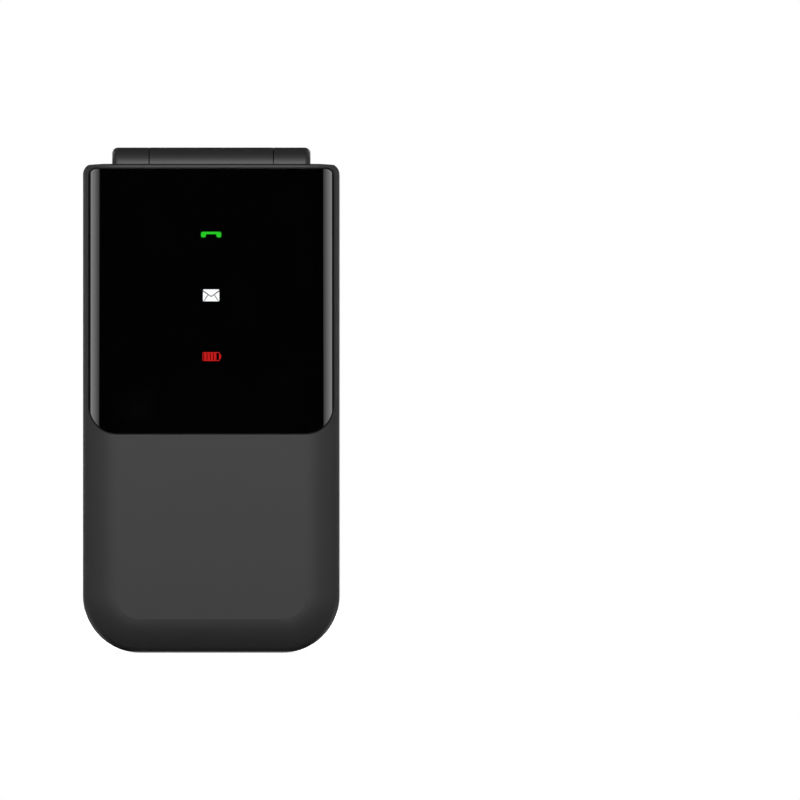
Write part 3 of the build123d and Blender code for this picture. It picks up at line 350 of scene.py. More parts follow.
# ---------------------------------------------------------------------------
# Masks: finishes whose colour changes over the piece
# ---------------------------------------------------------------------------
@cache
def zone_mask_group() -> bpy.types.NodeTree:
    """Builds the soft box mask that zoned finishes share, once.

    Returns:
        A shader node group that gives 1 inside a box and 0 outside it.
    """
    group, given = begin_tree("ZoneMask", "ShaderNodeTree", {
        "Position": "Vector", "Centre": "Vector", "Half Size": "Vector", "Softness": "Float"},
        {"Mask": "Float"})
    away = add_vector_math(group, "SUBTRACT", given["Position"], given["Centre"])
    size = add_vector_math(group, "ABSOLUTE", away)
    past = add_vector_math(group, "SUBTRACT", size, given["Half Size"])
    x, y, z = add_node(group, "ShaderNodeSeparateXYZ", {0: past}).outputs
    furthest = add_math(group, "MAXIMUM", add_math(group, "MAXIMUM", x, y), z)
    fade = add_math(group, "DIVIDE", furthest, given["Softness"])
    mask = add_math(group, "SUBTRACT", 0.5, fade)
    mask.node.use_clamp = True
    add_node(group, "NodeGroupOutput", {"Mask": mask})
    return group


@dataclass(frozen=True)
class Zone:
    """A box, in millimetres, inside which a finish takes another colour."""

    centre: Triple
    half: Triple
    colour: Colour
    softness: float

    def paint(self, material: bpy.types.Material) -> None:
        """Mixes the zone's colour into the material's base colour.

        Args:
            material: A material that make_material built.
        """
        tree = material.node_tree
        shader = tree.nodes["Principled BSDF"]
        under = shader.inputs["Base Color"].links[0].from_socket
        mask = add_node(tree, "ShaderNodeGroup", {
            "Position": object_position(tree), "Centre": [v * MM for v in self.centre],
            "Half Size": [v * MM for v in self.half], "Softness": self.softness * MM},
            node_tree=zone_mask_group())
        feed(shader, {"Base Color": add_colour_mix(
            tree, mask.outputs["Mask"], under, (*self.colour, 1))})


# ---------------------------------------------------------------------------
# Helpers
# ---------------------------------------------------------------------------
def dress_node(name: str, finish: Finish) -> None:
    """Gives one CAD node its finish, on every slot that it has.

    Args:
        name: The node's name.
        finish: Its finish.
    """
    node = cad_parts[name]
    material = make_material(finish)
    if not node.material_slots:
        node.data.materials.append(material)
    for slot in node.material_slots:
        slot.material = material
    log.info("%s in %s", name, finish.name)


def add_object(name: str, data: bpy.types.ID) -> bpy.types.Object:
    """Puts a new object in the scene.

    Args:
        name: The object's name.
        data: Its mesh, curve, light or camera.

    Returns:
        The new object.
    """
    thing = bpy.data.objects.new(name, data)
    bpy.context.scene.collection.objects.link(thing)
    return thing


def add_piece(name: str, mesh: bpy.types.Mesh, finish: Finish, body: str) -> bpy.types.Object:
    """Puts a finished mesh in the scene and lets it ride on a body.

    Args:
        name: The piece's name.
        mesh: The mesh, in metres, already where it belongs.
        finish: Its finish.
        body: The body that it moves with.

    Returns:
        The new object.
    """
    mesh.name = name
    mesh.materials.clear()
    mesh.materials.append(make_material(finish))
    piece = add_object(name, mesh)
    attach(piece, body)
    log.info("%s on %s, %d faces", name, body, len(mesh.polygons))
    return piece


def plain_mesh(holder: bpy.types.Object) -> bpy.types.Mesh:
    """Hands back the plain mesh that an object evaluates to."""
    bpy.context.view_layer.update()
    return bpy.data.meshes.new_from_object(holder.evaluated_get(
        bpy.context.evaluated_depsgraph_get()))


def finish_mesh(bm: bmesh.types.BMesh, mesh: bpy.types.Mesh) -> bpy.types.Mesh:
    """Turns every face outward and writes the faces into a mesh.

    Args:
        bm: The faces. They are freed.
        mesh: The mesh that takes them.

    Returns:
        The mesh.
    """
    bmesh.ops.recalc_face_normals(bm, faces=bm.faces)
    bm.to_mesh(mesh)
    bm.free()
    return mesh


def outward(mesh: bpy.types.Mesh) -> bpy.types.Mesh:
    """Merges a mesh's doubles and turns every face outward.

    Args:
        mesh: The mesh.

    Returns:
        The same mesh.
    """
    bm = bmesh.new()
    bm.from_mesh(mesh)
    bmesh.ops.remove_doubles(bm, verts=bm.verts, dist=WELD)
    return finish_mesh(bm, mesh)


def raised_shapes(outlines: list[list[Point]], y_face: float, proud: float,
                  sunk: float) -> bpy.types.Mesh:
    """Makes thin closed plates on a face that looks toward -Y.

    Args:
        outlines: Closed (x, z) outlines, counter-clockwise seen from -Y, in mm.
        y_face: Depth of the face that carries them, in mm.
        proud: How far they stand out, in mm.
        sunk: How far they reach into the face, in mm.

    Returns:
        One mesh, in metres.
    """
    bm = bmesh.new()
    for outline in outlines:
        front, back = ([bm.verts.new((x * MM, y * MM, z * MM)) for x, z in outline]
                       for y in (y_face - proud, y_face + sunk))
        bm.faces.new(front)
        bm.faces.new(list(reversed(back)))
        for i, a in enumerate(front):
            j = (i + 1) % len(front)
            bm.faces.new((a, back[i], back[j], front[j]))
    return finish_mesh(bm, bpy.data.meshes.new("raised"))


def raised_text(words: str, centre: Point, size: float, y_face: float,
                proud: float) -> bpy.types.Mesh:
    """Makes printed characters on a face that looks toward -Y.

    Args:
        words: The characters.
        centre: Middle of the word, (x, z) in mm.
        size: Height of the letters' body, in mm.
        y_face: Depth of the face, in mm.
        proud: Thickness of the print, in mm.

    Returns:
        One mesh, in metres.
    """
    curve = bpy.data.curves.new("words", "FONT")
    curve.body = words
    curve.size = size * MM
    curve.align_x = curve.align_y = "CENTER"
    curve.extrude = proud * MM
    curve.resolution_u = 3
    holder = add_object("words", curve)
    mesh = plain_mesh(holder)
    bpy.data.objects.remove(holder)
    bpy.data.curves.remove(curve)
    low = [min(v.co[i] for v in mesh.vertices) for i in (0, 1)]
    high = [max(v.co[i] for v in mesh.vertices) for i in (0, 1)]
    middle = Matrix.Translation((-(low[0] + high[0]) / 2, -(low[1] + high[1]) / 2, 0))
    turn = Matrix.Rotation(math.pi / 2, 4, "X")
    spot = Matrix.Translation((centre[0] * MM, y_face * MM, centre[1] * MM))
    mesh.transform(spot @ turn @ middle)
    return outward(mesh)


def turned(outline: list[Point], angle: float, centre: Point) -> list[Point]:
    """Turns an outline round the origin, then moves it.

    Args:
        outline: The (x, z) outline.
        angle: How far it is turned, in radians, counter-clockwise seen from -Y.
        centre: Where the origin goes.

    Returns:
        The outline in its place.
    """
    c, s = math.cos(angle), math.sin(angle)
    return [(centre[0] + c * x - s * z, centre[1] + s * x + c * z) for x, z in outline]


def corners_of(node: str) -> tuple[Vector, Vector]:
    """Lowest and highest corner of a CAD node's box, in mm."""
    low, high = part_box(node)
    return Vector(low) / MM, Vector(high) / MM


def middle_of(node: str) -> Vector:
    """Middle of a CAD node's box, in mm."""
    low, high = corners_of(node)
    return (low + high) / 2


def apply_tree(name: str, tree: bpy.types.NodeTree, values: dict[str, object],
               place: Matrix) -> bpy.types.Mesh:
    """Runs a Geometry Nodes tree and hands back its plain mesh.

    Args:
        name: Name of the result.
        tree: The tree.
        values: Its inputs by name.
        place: Where the result goes, in metres.

    Returns:
        The mesh, with its place applied and its faces outward.
    """
    seed = bpy.data.meshes.new(name + "_seed")
    holder = add_object(name + "_seed", seed)
    modifier = holder.modifiers.new("build", "NODES")
    modifier.node_group = tree
    for item in tree.interface.items_tree:
        if item.item_type == "SOCKET" and item.in_out == "INPUT" and item.name in values:
            modifier[item.identifier] = values[item.name]
    mesh = plain_mesh(holder)
    holder.modifiers.clear()
    bpy.data.objects.remove(holder)
    bpy.data.meshes.remove(seed)
    mesh.transform(place)
    return outward(mesh)


def end_geometry(tree: bpy.types.NodeTree, shape: bpy.types.NodeSocket,
                 finish: bpy.types.NodeSocket) -> None:
    """Ends a Geometry Nodes tree in plain geometry with a material.

    Args:
        tree: The tree.
        shape: The geometry, instances included.
        finish: The material.
    """
    real = add_node(tree, "GeometryNodeRealizeInstances", {"Geometry": shape})
    dress = add_node(tree, "GeometryNodeSetMaterial", {
        "Geometry": real.outputs["Geometry"], "Material": finish})
    add_node(tree, "NodeGroupOutput", {"Geometry": dress.outputs["Geometry"]})


@cache
def contact_row_tree() -> bpy.types.NodeTree:
    """Builds the tree that lays equal contact pads in a row along Z, once.

    Returns:
        A tree with inputs Count, Pitch, Size and Finish.
    """
    tree, given = begin_tree("ContactRow", "GeometryNodeTree", {
        "Count": "Int", "Pitch": "Float", "Size": "Vector", "Finish": "Material"},
        {"Geometry": "Geometry"})
    gaps = add_math(tree, "SUBTRACT", given["Count"], 1.0)
    length = add_math(tree, "MULTIPLY", gaps, given["Pitch"])
    lowest, step = (add_node(tree, "ShaderNodeCombineXYZ", {"Z": height}).outputs[0]
                    for height in (add_math(tree, "MULTIPLY", length, -0.5), given["Pitch"]))
    line = add_node(tree, "GeometryNodeMeshLine", {
        "Count": given["Count"], "Start Location": lowest, "Offset": step})
    pad = add_node(tree, "GeometryNodeMeshCube", {"Size": given["Size"]})
    row = add_node(tree, "GeometryNodeInstanceOnPoints", {
        "Points": line.outputs["Mesh"], "Instance": pad.outputs["Mesh"]})
    end_geometry(tree, row.outputs["Instances"], given["Finish"])
    return tree


@cache
def turned_ring_tree() -> bpy.types.NodeTree:
    """Builds the tree that sweeps a round wire into a ring round Z, once.

    Returns:
        A tree with inputs Radius, Steps, Wire, Wire Steps and Finish.
    """
    tree, given = begin_tree("TurnedRing", "GeometryNodeTree", {
        "Radius": "Float", "Steps": "Int", "Wire": "Float", "Wire Steps": "Int",
        "Finish": "Material"}, {"Geometry": "Geometry"})
    path, wire = (add_node(tree, "GeometryNodeCurvePrimitiveCircle", {
        "Radius": given[radius], "Resolution": given[steps]}).outputs["Curve"]
        for radius, steps in (("Radius", "Steps"), ("Wire", "Wire Steps")))
    tube = add_node(tree, "GeometryNodeCurveToMesh", {"Curve": path, "Profile Curve": wire})
    end_geometry(tree, tube.outputs["Mesh"], given["Finish"])
    return tree


def turned_ring(name: str, radius: float, wire: float, steps: int, finish: Finish,
                place: Matrix) -> bpy.types.Mesh:
    """Makes one ring of round wire.

    Args:
        name: The ring's name.
        radius: Radius of the ring's middle line, in mm.
        wire: Radius of the wire, in mm.
        steps: Sides of the ring.
        finish: Its finish.
        place: Where the ring goes, in metres. It is made round Z.

    Returns:
        The ring's mesh.
    """
    return apply_tree(name, turned_ring_tree(), {
        "Radius": radius * MM, "Steps": steps, "Wire": wire * MM, "Wire Steps": WIRE_STEPS,
        "Finish": make_material(finish)}, place)


# ---------------------------------------------------------------------------
# Sub-assemblies
# ---------------------------------------------------------------------------
@dataclass
class SubAssembly:
    """A group of CAD nodes, the finish of each, and the sizes of what it adds."""

    finishes: dict[str, Finish] = field(default_factory=dict)

    def dress(self) -> None:
        """Gives every node of the group its finish."""
        for name, finish in self.finishes.items():
            dress_node(name, finish)

    def make(self) -> None:
        """Builds the pieces that the group adds. A plain group adds none."""

    def paint(self) -> None:
        """Paints the colours that change over a piece. A plain group has none."""

    def build(self) -> None:
        """Dresses the nodes, builds the added pieces and paints the zones."""
        self.dress()
        self.make()
        self.paint()
        log.info("%s ready, %d nodes", type(self).__name__, len(self.finishes))


@dataclass
class FlipHalf(SubAssembly):
    """The lid: casing, front lens, display and what is inside. Millimetres."""

    picture: Colour = (0.012, 0.014, 0.018)
    picture_side: float = 2.2
    picture_ends: float = 2.8
    picture_rise: float = 0.9
    picture_edge: float = 0.1
    finishes: dict[str, Finish] = field(default_factory=lambda: {
        "flip_outer_shell": FLIP_CASING, "flip_front_lens": LENS_GLOSS,
        "call_indicator": GREEN_LIGHT, "message_indicator": WHITE_LIGHT,
        "battery_indicator": RED_LIGHT, "flip_inner_cover": INNER_GLOSS,
        "display_window": WINDOW_GLOSS, "display_panel": DISPLAY_STACK,
        "flip_board": BOARD_GREEN, "indicator_leds": LED_EPOXY,
        "earpiece_grille": ETCHED_MESH, "earpiece_speaker": SPEAKER_BLACK,
        "flip_screws": SCREW_ZINC, "flip_bumpers": SOFT_RUBBER})

    def paint(self) -> None:
        """Shows the dark picture area through the display window."""
        low, high = corners_of("display_panel")
        window_low, window_high = corners_of("display_window")
        centre = (0, 0, (low.z + high.z) / 2 + self.picture_rise)
        half = ((window_high.x - window_low.x) / 2 - self.picture_side, FAR,
                (high.z - low.z) / 2 - self.picture_ends)
        Zone(centre, half, self.picture, self.picture_edge).paint(make_material(WINDOW_GLOSS))


@dataclass
class HingeLine(SubAssembly):
    """The barrel's inner parts, and thin black rings in its joint lines that stand in for the
    shade there. Millimetres.
    """

    barrel_radius: float = 4.1
    joint_x: float = 12.6
    # Sizes of the black rings that paint the shade into the joint lines.
    seal_wire: float = 0.085
    seal_inset: float = 0.03
    seal_steps: int = 72
    finishes: dict[str, Finish] = field(default_factory=lambda: {
        "hinge_cartridge": TURNED_STEEL, "hinge_spring": SPRING_WIRE,
        "hinge_flex": FLEX_FILM, "hinge_cam_shaft": TURNED_STEEL,
        "hinge_pivot_pin": TURNED_STEEL})

    def make(self) -> None:
        """Lays a thin black ring in each joint line: painted shade, where the knuckles' edges
        would lie in shadow.
        """
        axis = middle_of("hinge_pivot_pin")
        radius = self.barrel_radius - self.seal_inset - self.seal_wire
        turn = Matrix.Rotation(math.pi / 2, 4, "Y")
        for x, name in ((-self.joint_x, "joint_shade_left"), (self.joint_x, "joint_shade_right")):
            place = Matrix.Translation(Vector((x, axis.y, axis.z)) * MM) @ turn
            mesh = turned_ring(name, radius, self.seal_wire, self.seal_steps, JOINT_SHADE_BLACK, place)
            add_piece(name, mesh, JOINT_SHADE_BLACK, "base")


@dataclass
class BaseHalf(SubAssembly):
    """The body: frame, trim ring, tray, and the board with what it carries."""

    finishes: dict[str, Finish] = field(default_factory=lambda: {
        "base_frame": BASE_CASING, "rear_trim_ring": SILVER_TRIM, "keypad_cover": INNER_GLOSS,
        "main_board": BOARD_GREEN, "shield_cans": TINNED_PLATE, "rear_tray": TRAY_BLACK,
        "base_screws": SCREW_ZINC, "sim_holder": TINNED_PLATE,
        "vibration_motor": TINNED_PLATE, "camera_module": CAMERA_BLACK})


class Glyph(Enum):
    """Signs on the keys that aren't characters."""

    HANDSET_UP = "handset_up"
    HANDSET_DOWN = "handset_down"
    DASH = "dash"


HANDSET_TURN: dict[Glyph, float] = {Glyph.HANDSET_UP: 135.0, Glyph.HANDSET_DOWN: 0.0}


@dataclass
class Keypad(SubAssembly):
    """The keys, their mat and domes, and the prints on them. Millimetres."""

    face_y: float = -1.8
    ink: float = 0.012
    bite: float = 0.02
    digit_size: float = 5.4
    word_size: float = 2.3
    dash: Point = (3.0, 0.5)
    dash_steps: int = 6
    arrow: float = 1.0
    arrow_tip: float = 0.6
    arrow_foot: float = 0.5
    arrow_reach: float = 6.3
    handset_arc: Point = (1.7, 2.5)
    handset_spread: float = 52.0
    handset_lip: float = 0.45
    handset_grip: float = 0.6
    handset_drop: float = 1.68
    handset_steps: int = 14
    pip_radius: float = 0.35
    pip_flatness: float = 0.42
    pip_drop: float = 3.3
    characters: dict[str, str] = field(default_factory=lambda: {
        **{f"key_{n}": str(n) for n in range(10)}, "key_star": "*", "key_hash": "#"})
    signs: dict[str, tuple[Glyph, Finish]] = field(default_factory=lambda: {
        "call_key": (Glyph.HANDSET_UP, LEGEND_GREEN),
        "end_key": (Glyph.HANDSET_DOWN, LEGEND_RED),
        "soft_key_left": (Glyph.DASH, LEGEND_WHITE),
        "soft_key_right": (Glyph.DASH, LEGEND_WHITE)})
    finishes: dict[str, Finish] = field(default_factory=lambda: {
        **{f"key_{n}": KEY_BLACK for n in range(10)},
        **{key: KEY_BLACK for key in ("key_star", "key_hash", "call_key", "end_key",
                                      "soft_key_left", "soft_key_right", "ok_key")},
        "nav_ring": NAV_SILVER, "nav_pad": PAD_GREY, "keypad_mat": MAT_SILICONE,
        "dome_sheet": DOME_FILM})

    def handset(self, x: float, z: float, glyph: Glyph) -> list[Point]:
        """Outline of a telephone handset, lying as an arch or turned up.

        Args:
            x: Middle of the sign.
            z: Middle of the sign.
            glyph: Which way the handset is turned.

        Returns:
            A closed outline, counter-clockwise seen from the front.
        """
        (inner, outer), steps = self.handset_arc, self.handset_steps
        spread = math.radians(self.handset_spread)
        raw: list[Point] = []
        for i in range(steps + 1):
            a = math.pi / 2 - spread + 2 * spread * i / steps
            raw.append((outer * math.cos(a), outer * math.sin(a)))
        for i in range(steps + 1):
            a = math.pi / 2 + spread - 2 * spread * i / steps
            at_ends = abs(2 * i / steps - 1) > self.handset_grip
            r = inner - (self.handset_lip if at_ends else 0.0)
            raw.append((r * math.cos(a), r * math.sin(a)))
        return turned([(px, pz - self.handset_drop) for px, pz in raw],
                      math.radians(HANDSET_TURN[glyph]), (x, z))

    def dash_shape(self, x: float, z: float) -> list[Point]:
        """Outline of the short bar on a soft key.

        Args:
            x: Middle of the bar.
            z: Middle of the bar.

        Returns:
            A closed outline with round ends, counter-clockwise seen from the front.
        """
        a, b = self.dash[0] / 2, self.dash[1] / 2
        return [(x + side * (a - b) + b * math.cos(t), z + b * math.sin(t))
                for side, first in ((1, -math.pi / 2), (-1, math.pi / 2))
                for t in [first + math.pi * i / self.dash_steps
                          for i in range(self.dash_steps + 1)]]

    def sign(self, key: str) -> None:
        """Prints one key's sign.

        Args:
            key: The key's node, which is its body too.
        """
        glyph, finish = self.signs[key]
        spot = middle_of(key)
        if glyph is Glyph.DASH:
            outline = self.dash_shape(spot.x, spot.z)
        else:
            outline = self.handset(spot.x, spot.z, glyph)
        mesh = raised_shapes([outline], self.face_y, self.ink, self.bite)
        add_piece(key + "_sign", mesh, finish, key)

    def arrows(self) -> None:
        """Prints four arrowheads round the navigation ring."""
        spot = middle_of("nav_ring")
        tip, foot = self.arrow_reach + self.arrow_tip, self.arrow_reach - self.arrow_foot
        head = [(0.0, tip), (-self.arrow, foot), (self.arrow, foot)]
        shapes = [turned(head, math.pi / 2 * i, (spot.x, spot.z)) for i in range(4)]
        add_piece("nav_ring_arrows", raised_shapes(shapes, self.face_y, self.ink, self.bite),
                  ARROW_INK, "nav_ring")

    def pip(self) -> None:
        """Raises a dot on the middle key that a thumb can find."""
        spot = middle_of("key_5")
        bm = bmesh.new()
        bmesh.ops.create_uvsphere(bm, u_segments=16, v_segments=10, radius=self.pip_radius * MM)
        bmesh.ops.scale(bm, vec=(1, self.pip_flatness, 1), verts=bm.verts)
        place = Vector((spot.x, self.face_y + self.bite, spot.z - self.pip_drop)) * MM
        bmesh.ops.translate(bm, vec=place, verts=bm.verts)
        for each in bm.faces:
            each.smooth = True
        mesh = finish_mesh(bm, bpy.data.meshes.new("pip"))
        add_piece("key_5_pip", mesh, KEY_BLACK, "key_5")

    def legend(self, key: str, words: str, size: float) -> None:
        """Prints one key's character or word.

        Args:
            key: The key's node, which is its body too.
            words: What the key says.
            size: Height of the letters' body.
        """
        spot = middle_of(key)
        mesh = raised_text(words, (spot.x, spot.z), size, self.face_y, self.ink)
        add_piece(key + "_legend", mesh, LEGEND_WHITE, key)

    def make(self) -> None:
        """Prints every key."""
        for key, letter in self.characters.items():
            self.legend(key, letter, self.digit_size)
        for key in self.signs:
            self.sign(key)
        self.legend("ok_key", "OK", self.word_size)
        self.arrows()
        self.pip()


@dataclass
class PowerAndPort(SubAssembly):
    """Cell, charging port and the gold contacts of both. Millimetres."""

    pads: int = 5
    pad_pitch: float = 1.06
    pad_size: Triple = (3.4, 0.2, 0.72)
    pad_reach: float = 0.02
    cell_pads: int = 3
    cell_pitch: float = 2.6
    cell_pad: Triple = (0.04, 1.5, 1.3)
    cell_inset: float = 0.4
    # Painted shade: the near-black colour that the port's shell takes inside, behind its rim.
    throat: Colour = (0.015, 0.015, 0.016)
    throat_rim: float = 0.3
    throat_fade: float = 0.2
    finishes: dict[str, Finish] = field(default_factory=lambda: {
        "usb_port_shell": PORT_NICKEL, "usb_port_tongue": TONGUE_BLACK,
        "battery": CELL_WRAP, "battery_contacts": TONGUE_BLACK})

    def row(self, name: str, count: int, pitch: float, size: Triple, place: Matrix) -> None:
        """Adds one row of equal contacts.

        Args:
            name: The row's name.
            count: How many contacts it has.
            pitch: From one contact to the next.
            size: Of one contact.
            place: Where the row goes, in metres.
        """
        mesh = apply_tree(name, contact_row_tree(), {
            "Count": count, "Pitch": pitch * MM, "Size": [v * MM for v in size],
            "Finish": make_material(GOLD_PLATE)}, place)
        add_piece(name, mesh, GOLD_PLATE, "base")

    def make(self) -> None:
        """Lays the contacts of the port and of the cell."""
        low, high = corners_of("usb_port_tongue")
        spot = Vector((high.x - self.pad_size[0] / 2 + self.pad_reach, low.y,
                       (low.z + high.z) / 2))
        self.row("port_contacts", self.pads, self.pad_pitch, self.pad_size,
                 Matrix.Translation(spot * MM))
        low, high = corners_of("battery")
        spot = Vector((0, (low.y + high.y) / 2 - self.cell_inset, high.z))
        self.row("cell_contacts", self.cell_pads, self.cell_pitch, self.cell_pad,
                 Matrix.Translation(spot * MM) @ Matrix.Rotation(math.pi / 2, 4, "Y"))

    def paint(self) -> None:
        """Paints shade into the port's throat behind its bright rim: the nickel inside is coloured
        near black, as it would be in shadow.
        """
        low, high = corners_of("usb_port_shell")
        inside = (high.x - self.throat_rim + low.x) / 2
        # Painted shade over the shell's inner walls.
        Zone((inside, 0, 0), (inside - low.x, FAR, FAR), self.throat, self.throat_fade).paint(
            make_material(PORT_NICKEL))


@dataclass(frozen=True)
class Rim:
    """A fine turned ring, square to the camera panel. Millimetres."""

    node: str       # CAD node that it is centred on
    radius: float   # its middle line
    wire: float     # half its thickness
    lift: float     # its height over the node's middle
    finish: Finish


@dataclass
class BackCover(SubAssembly):
    """Back cover with the camera and the flash on its sloped panel. Millimetres."""

    slope: float = 13.0
    rims: dict[str, Rim] = field(default_factory=lambda: {
        "camera_rim": Rim("camera_bezel", 3.62, 0.07, 0.81, LIGHT_RIM),
        "camera_iris_ring": Rim("camera_lens", 1.28, 0.16, 0.1, LENS_RING),
        "flash_rim": Rim("flash_ring", 1.75, 0.05, 0.79, BEZEL_BLACK)})
    rim_steps: int = 96
    dome_radius: float = 0.86
    dome_height: float = 0.16
    dome_lift: float = 0.22
    dome_foot: float = 0.05
    dome_rings: int = 6
    dome_steps: int = 32
    phosphor: Colour = (0.86, 0.62, 0.06)
    phosphor_half: float = 0.6
    phosphor_fade: float = 1.0
    finishes: dict[str, Finish] = field(default_factory=lambda: {
        "back_cover": COVER_GLOSS, "camera_bezel": BEZEL_BLACK, "camera_window": CAMERA_GLASS,
        "camera_lens": CAMERA_BLACK, "flash_ring": BEZEL_BLACK, "flash_lens": FLASH_DIFFUSER})

    def on_panel(self, node: str, lift: float) -> Matrix:
        """Place square to the panel over a node, for shapes built round +Z.

        Args:
            node: CAD node that the place is centred on.
            lift: Height over the node's middle, square to the panel.

        Returns:
            The place, in metres.
        """
        tilt = math.radians(self.slope)
        way = Vector((0, math.cos(tilt), math.sin(tilt)))
        turn = Matrix.Rotation(-math.pi / 2 + tilt, 4, "X")
        return Matrix.Translation((middle_of(node) + way * lift) * MM) @ turn

    def turn_rim(self, name: str, rim: Rim) -> None:
        """Adds one rim.

        Args:
            name: The rim's name.
            rim: Its sizes.
        """
        mesh = turned_ring(name, rim.radius, rim.wire, self.rim_steps, rim.finish,
                           self.on_panel(rim.node, rim.lift))
        for face in mesh.polygons:
            face.use_smooth = True
        add_piece(name, mesh, rim.finish, "cover")

    def dome(self) -> None:
        """Adds the camera's small coated front element, a shallow dome."""
        bm = bmesh.new()
        steps = self.dome_steps
        tip = bm.verts.new((0, 0, self.dome_height * MM))
        rows = []
        for i in range(1, self.dome_rings + 1):
            a = math.pi / 2 * i / self.dome_rings
            r, h = self.dome_radius * math.sin(a), self.dome_height * math.cos(a)
            rows.append([bm.verts.new((r * math.cos(t) * MM, r * math.sin(t) * MM, h * MM))
                         for t in [2 * math.pi * k / steps for k in range(steps)]])
        foot = [bm.verts.new((v.co.x, v.co.y, -self.dome_foot * MM)) for v in rows[-1]]
        for k in range(steps):
            n = (k + 1) % steps
            bm.faces.new((tip, rows[0][k], rows[0][n])).smooth = True
            for above, below in zip(rows, rows[1:] + [foot]):
                bm.faces.new((above[k], below[k], below[n], above[n])).smooth = True
        bm.faces.new(list(reversed(foot)))
        mesh = finish_mesh(bm, bpy.data.meshes.new("camera_front_element"))
        mesh.transform(self.on_panel("camera_lens", self.dome_lift))
        add_piece("camera_front_element", mesh, LENS_COATING, "cover")

    def make(self) -> None:
        """Adds the rims of the camera and the flash, and the camera's dome."""
        for name, rim in self.rims.items():
            self.turn_rim(name, rim)
        self.dome()

    def paint(self) -> None:
        """Paints the yellow phosphor in the middle of the flash."""
        Zone(tuple(middle_of("flash_lens")), (self.phosphor_half, FAR, self.phosphor_half),
             self.phosphor, self.phosphor_fade).paint(make_material(FLASH_DIFFUSER))


# ---------------------------------------------------------------------------
# The stage: floor, world, lamps, cards that only glossy rays see, and camera
# ---------------------------------------------------------------------------
class Grade(Enum):
    """How a card's glow changes: along one of its own axes, or outward."""

    ACROSS = "X"
    UPWARD = "Y"
    ROUND = "round"


class Cut(Enum):
    """Outline that a card is cut to."""

    RECTANGLE = "rectangle"
    HALF_DISC = "half_disc"


DISC_STEPS = 24  # sides of a half disc's arc


def stage_material(name: str) -> bpy.types.Material:
    """Makes a material with an empty tree, for what isn't part of the phone.

    Args:
        name: The material's name.

    Returns:
        The material.
    """
    material = bpy.data.materials.new(name)
    material.use_nodes = True
    material.node_tree.nodes.clear()
    return material


@dataclass
class Card:
    """A flat card that only reflections see.

    Sizes are metres. The glow runs from near_glow to far_glow along one of
    the card's own axes, or from its middle to its rim, as a soft box does. A
    card with no glow is a black flag.
    """

    name: str
    centre: Triple
    aim: Triple
    width: float
    height: float
    near_glow: float = 0.0
    far_glow: float = 0.0
    along: Grade = Grade.ACROSS
    cut: Cut = Cut.RECTANGLE
    roll: float = 0.0

    def outline(self) -> list[Triple]:
        """Cuts the card.

        Returns:
            Its corners, counter-clockwise round its own Z axis.
        """
        a, b = self.width / 2, self.height / 2
        if self.cut is Cut.RECTANGLE:
            return [(-a, -b, 0), (a, -b, 0), (a, b, 0), (-a, b, 0)]
        angles = [math.radians(self.roll) + math.pi * k / DISC_STEPS
                  for k in range(DISC_STEPS + 1)]
        return [(a * math.cos(t), a * math.sin(t), 0) for t in angles]

    def material(self) -> bpy.types.Material:
        """Builds the card's glow, graded over its face.

        Returns:
            A material that only gives light.
        """
        material = stage_material(self.name)
        tree = material.node_tree
        half = (self.width if self.along is Grade.ACROSS else self.height) / 2
        if self.along is Grade.ROUND:
            start, ease = 0.0, "SMOOTHSTEP"
            spot = add_node(tree, "ShaderNodeVectorMath", {0: object_position(tree)},
                            operation="LENGTH").outputs["Value"]
        else:
            start, ease = -half, "LINEAR"
            spot = add_node(tree, "ShaderNodeSeparateXYZ", {
                0: object_position(tree)}).outputs[self.along.value]
        ramp = add_node(tree, "ShaderNodeMapRange", {
            "Value": spot, "From Min": start, "From Max": half, "To Min": self.near_glow,
            "To Max": self.far_glow}, interpolation_type=ease)
        glow = add_node(tree, "ShaderNodeEmission", {"Strength": ramp.outputs["Result"]})
        add_node(tree, "ShaderNodeOutputMaterial", {"Surface": glow.outputs[0]})
        return material

    def build(self) -> None:
        """Makes the card and hides it from all but glossy rays."""
        mesh = bpy.data.meshes.new(self.name)
        corners = self.outline()
        mesh.from_pydata(corners, [], [tuple(range(len(corners)))])
        mesh.materials.append(self.material())
        card = add_object(self.name, mesh)
        way = Vector(self.aim) - Vector(self.centre)
        card.rotation_mode = "QUATERNION"
        card.rotation_quaternion = way.to_track_quat("Z", "Y")
        card.location = self.centre
        card.visible_camera = card.visible_diffuse = card.visible_shadow = False
        card.visible_transmission = card.visible_volume_scatter = False


def both_sides(left: Card) -> list[Card]:
    """Gives a card a mirror image on the other side of the phone.

    Args:
        left: The card at -X. Its name is the part after left_ and right_.

    Returns:
        Both cards. A glow that runs across a card runs the other way on its twin.
    """
    (x, y, z), (aim_x, aim_y, aim_z) = left.centre, left.aim
    near, far = left.near_glow, left.far_glow
    if left.along is Grade.ACROSS:
        near, far = far, near
    return [replace(left, name="left_" + left.name),
            replace(left, name="right_" + left.name, centre=(-x, y, z),
                    aim=(-aim_x, aim_y, aim_z), near_glow=near, far_glow=far)]


# The camera panel's cards: height, width from there up, and glow there.
PANEL_STACK = (("foot", 0.1007, 0.034, 0.0), ("low", 0.1027, 0.034, 2.2),
               ("middle", 0.10457, 0.034, 3.7), ("high", 0.10617, 0.0395, 1.5),
               ("top", 0.10947, 0.0395, 0.4), ("end", 0.11597, 0.0, 0.0))
PANEL_DEPTH = 0.05


def panel_cards() -> list[Card]:
    """Stacks cards for the camera panel, so that the glow runs on from each to the next."""
    return [Card("panel_card_" + name, (0, PANEL_DEPTH, (low + high) / 2),
                 (0, -1, (low + high) / 2), width, high - low, near, far, Grade.UPWARD)
            for (name, low, width, near), (_, high, _, far) in zip(PANEL_STACK, PANEL_STACK[1:])]


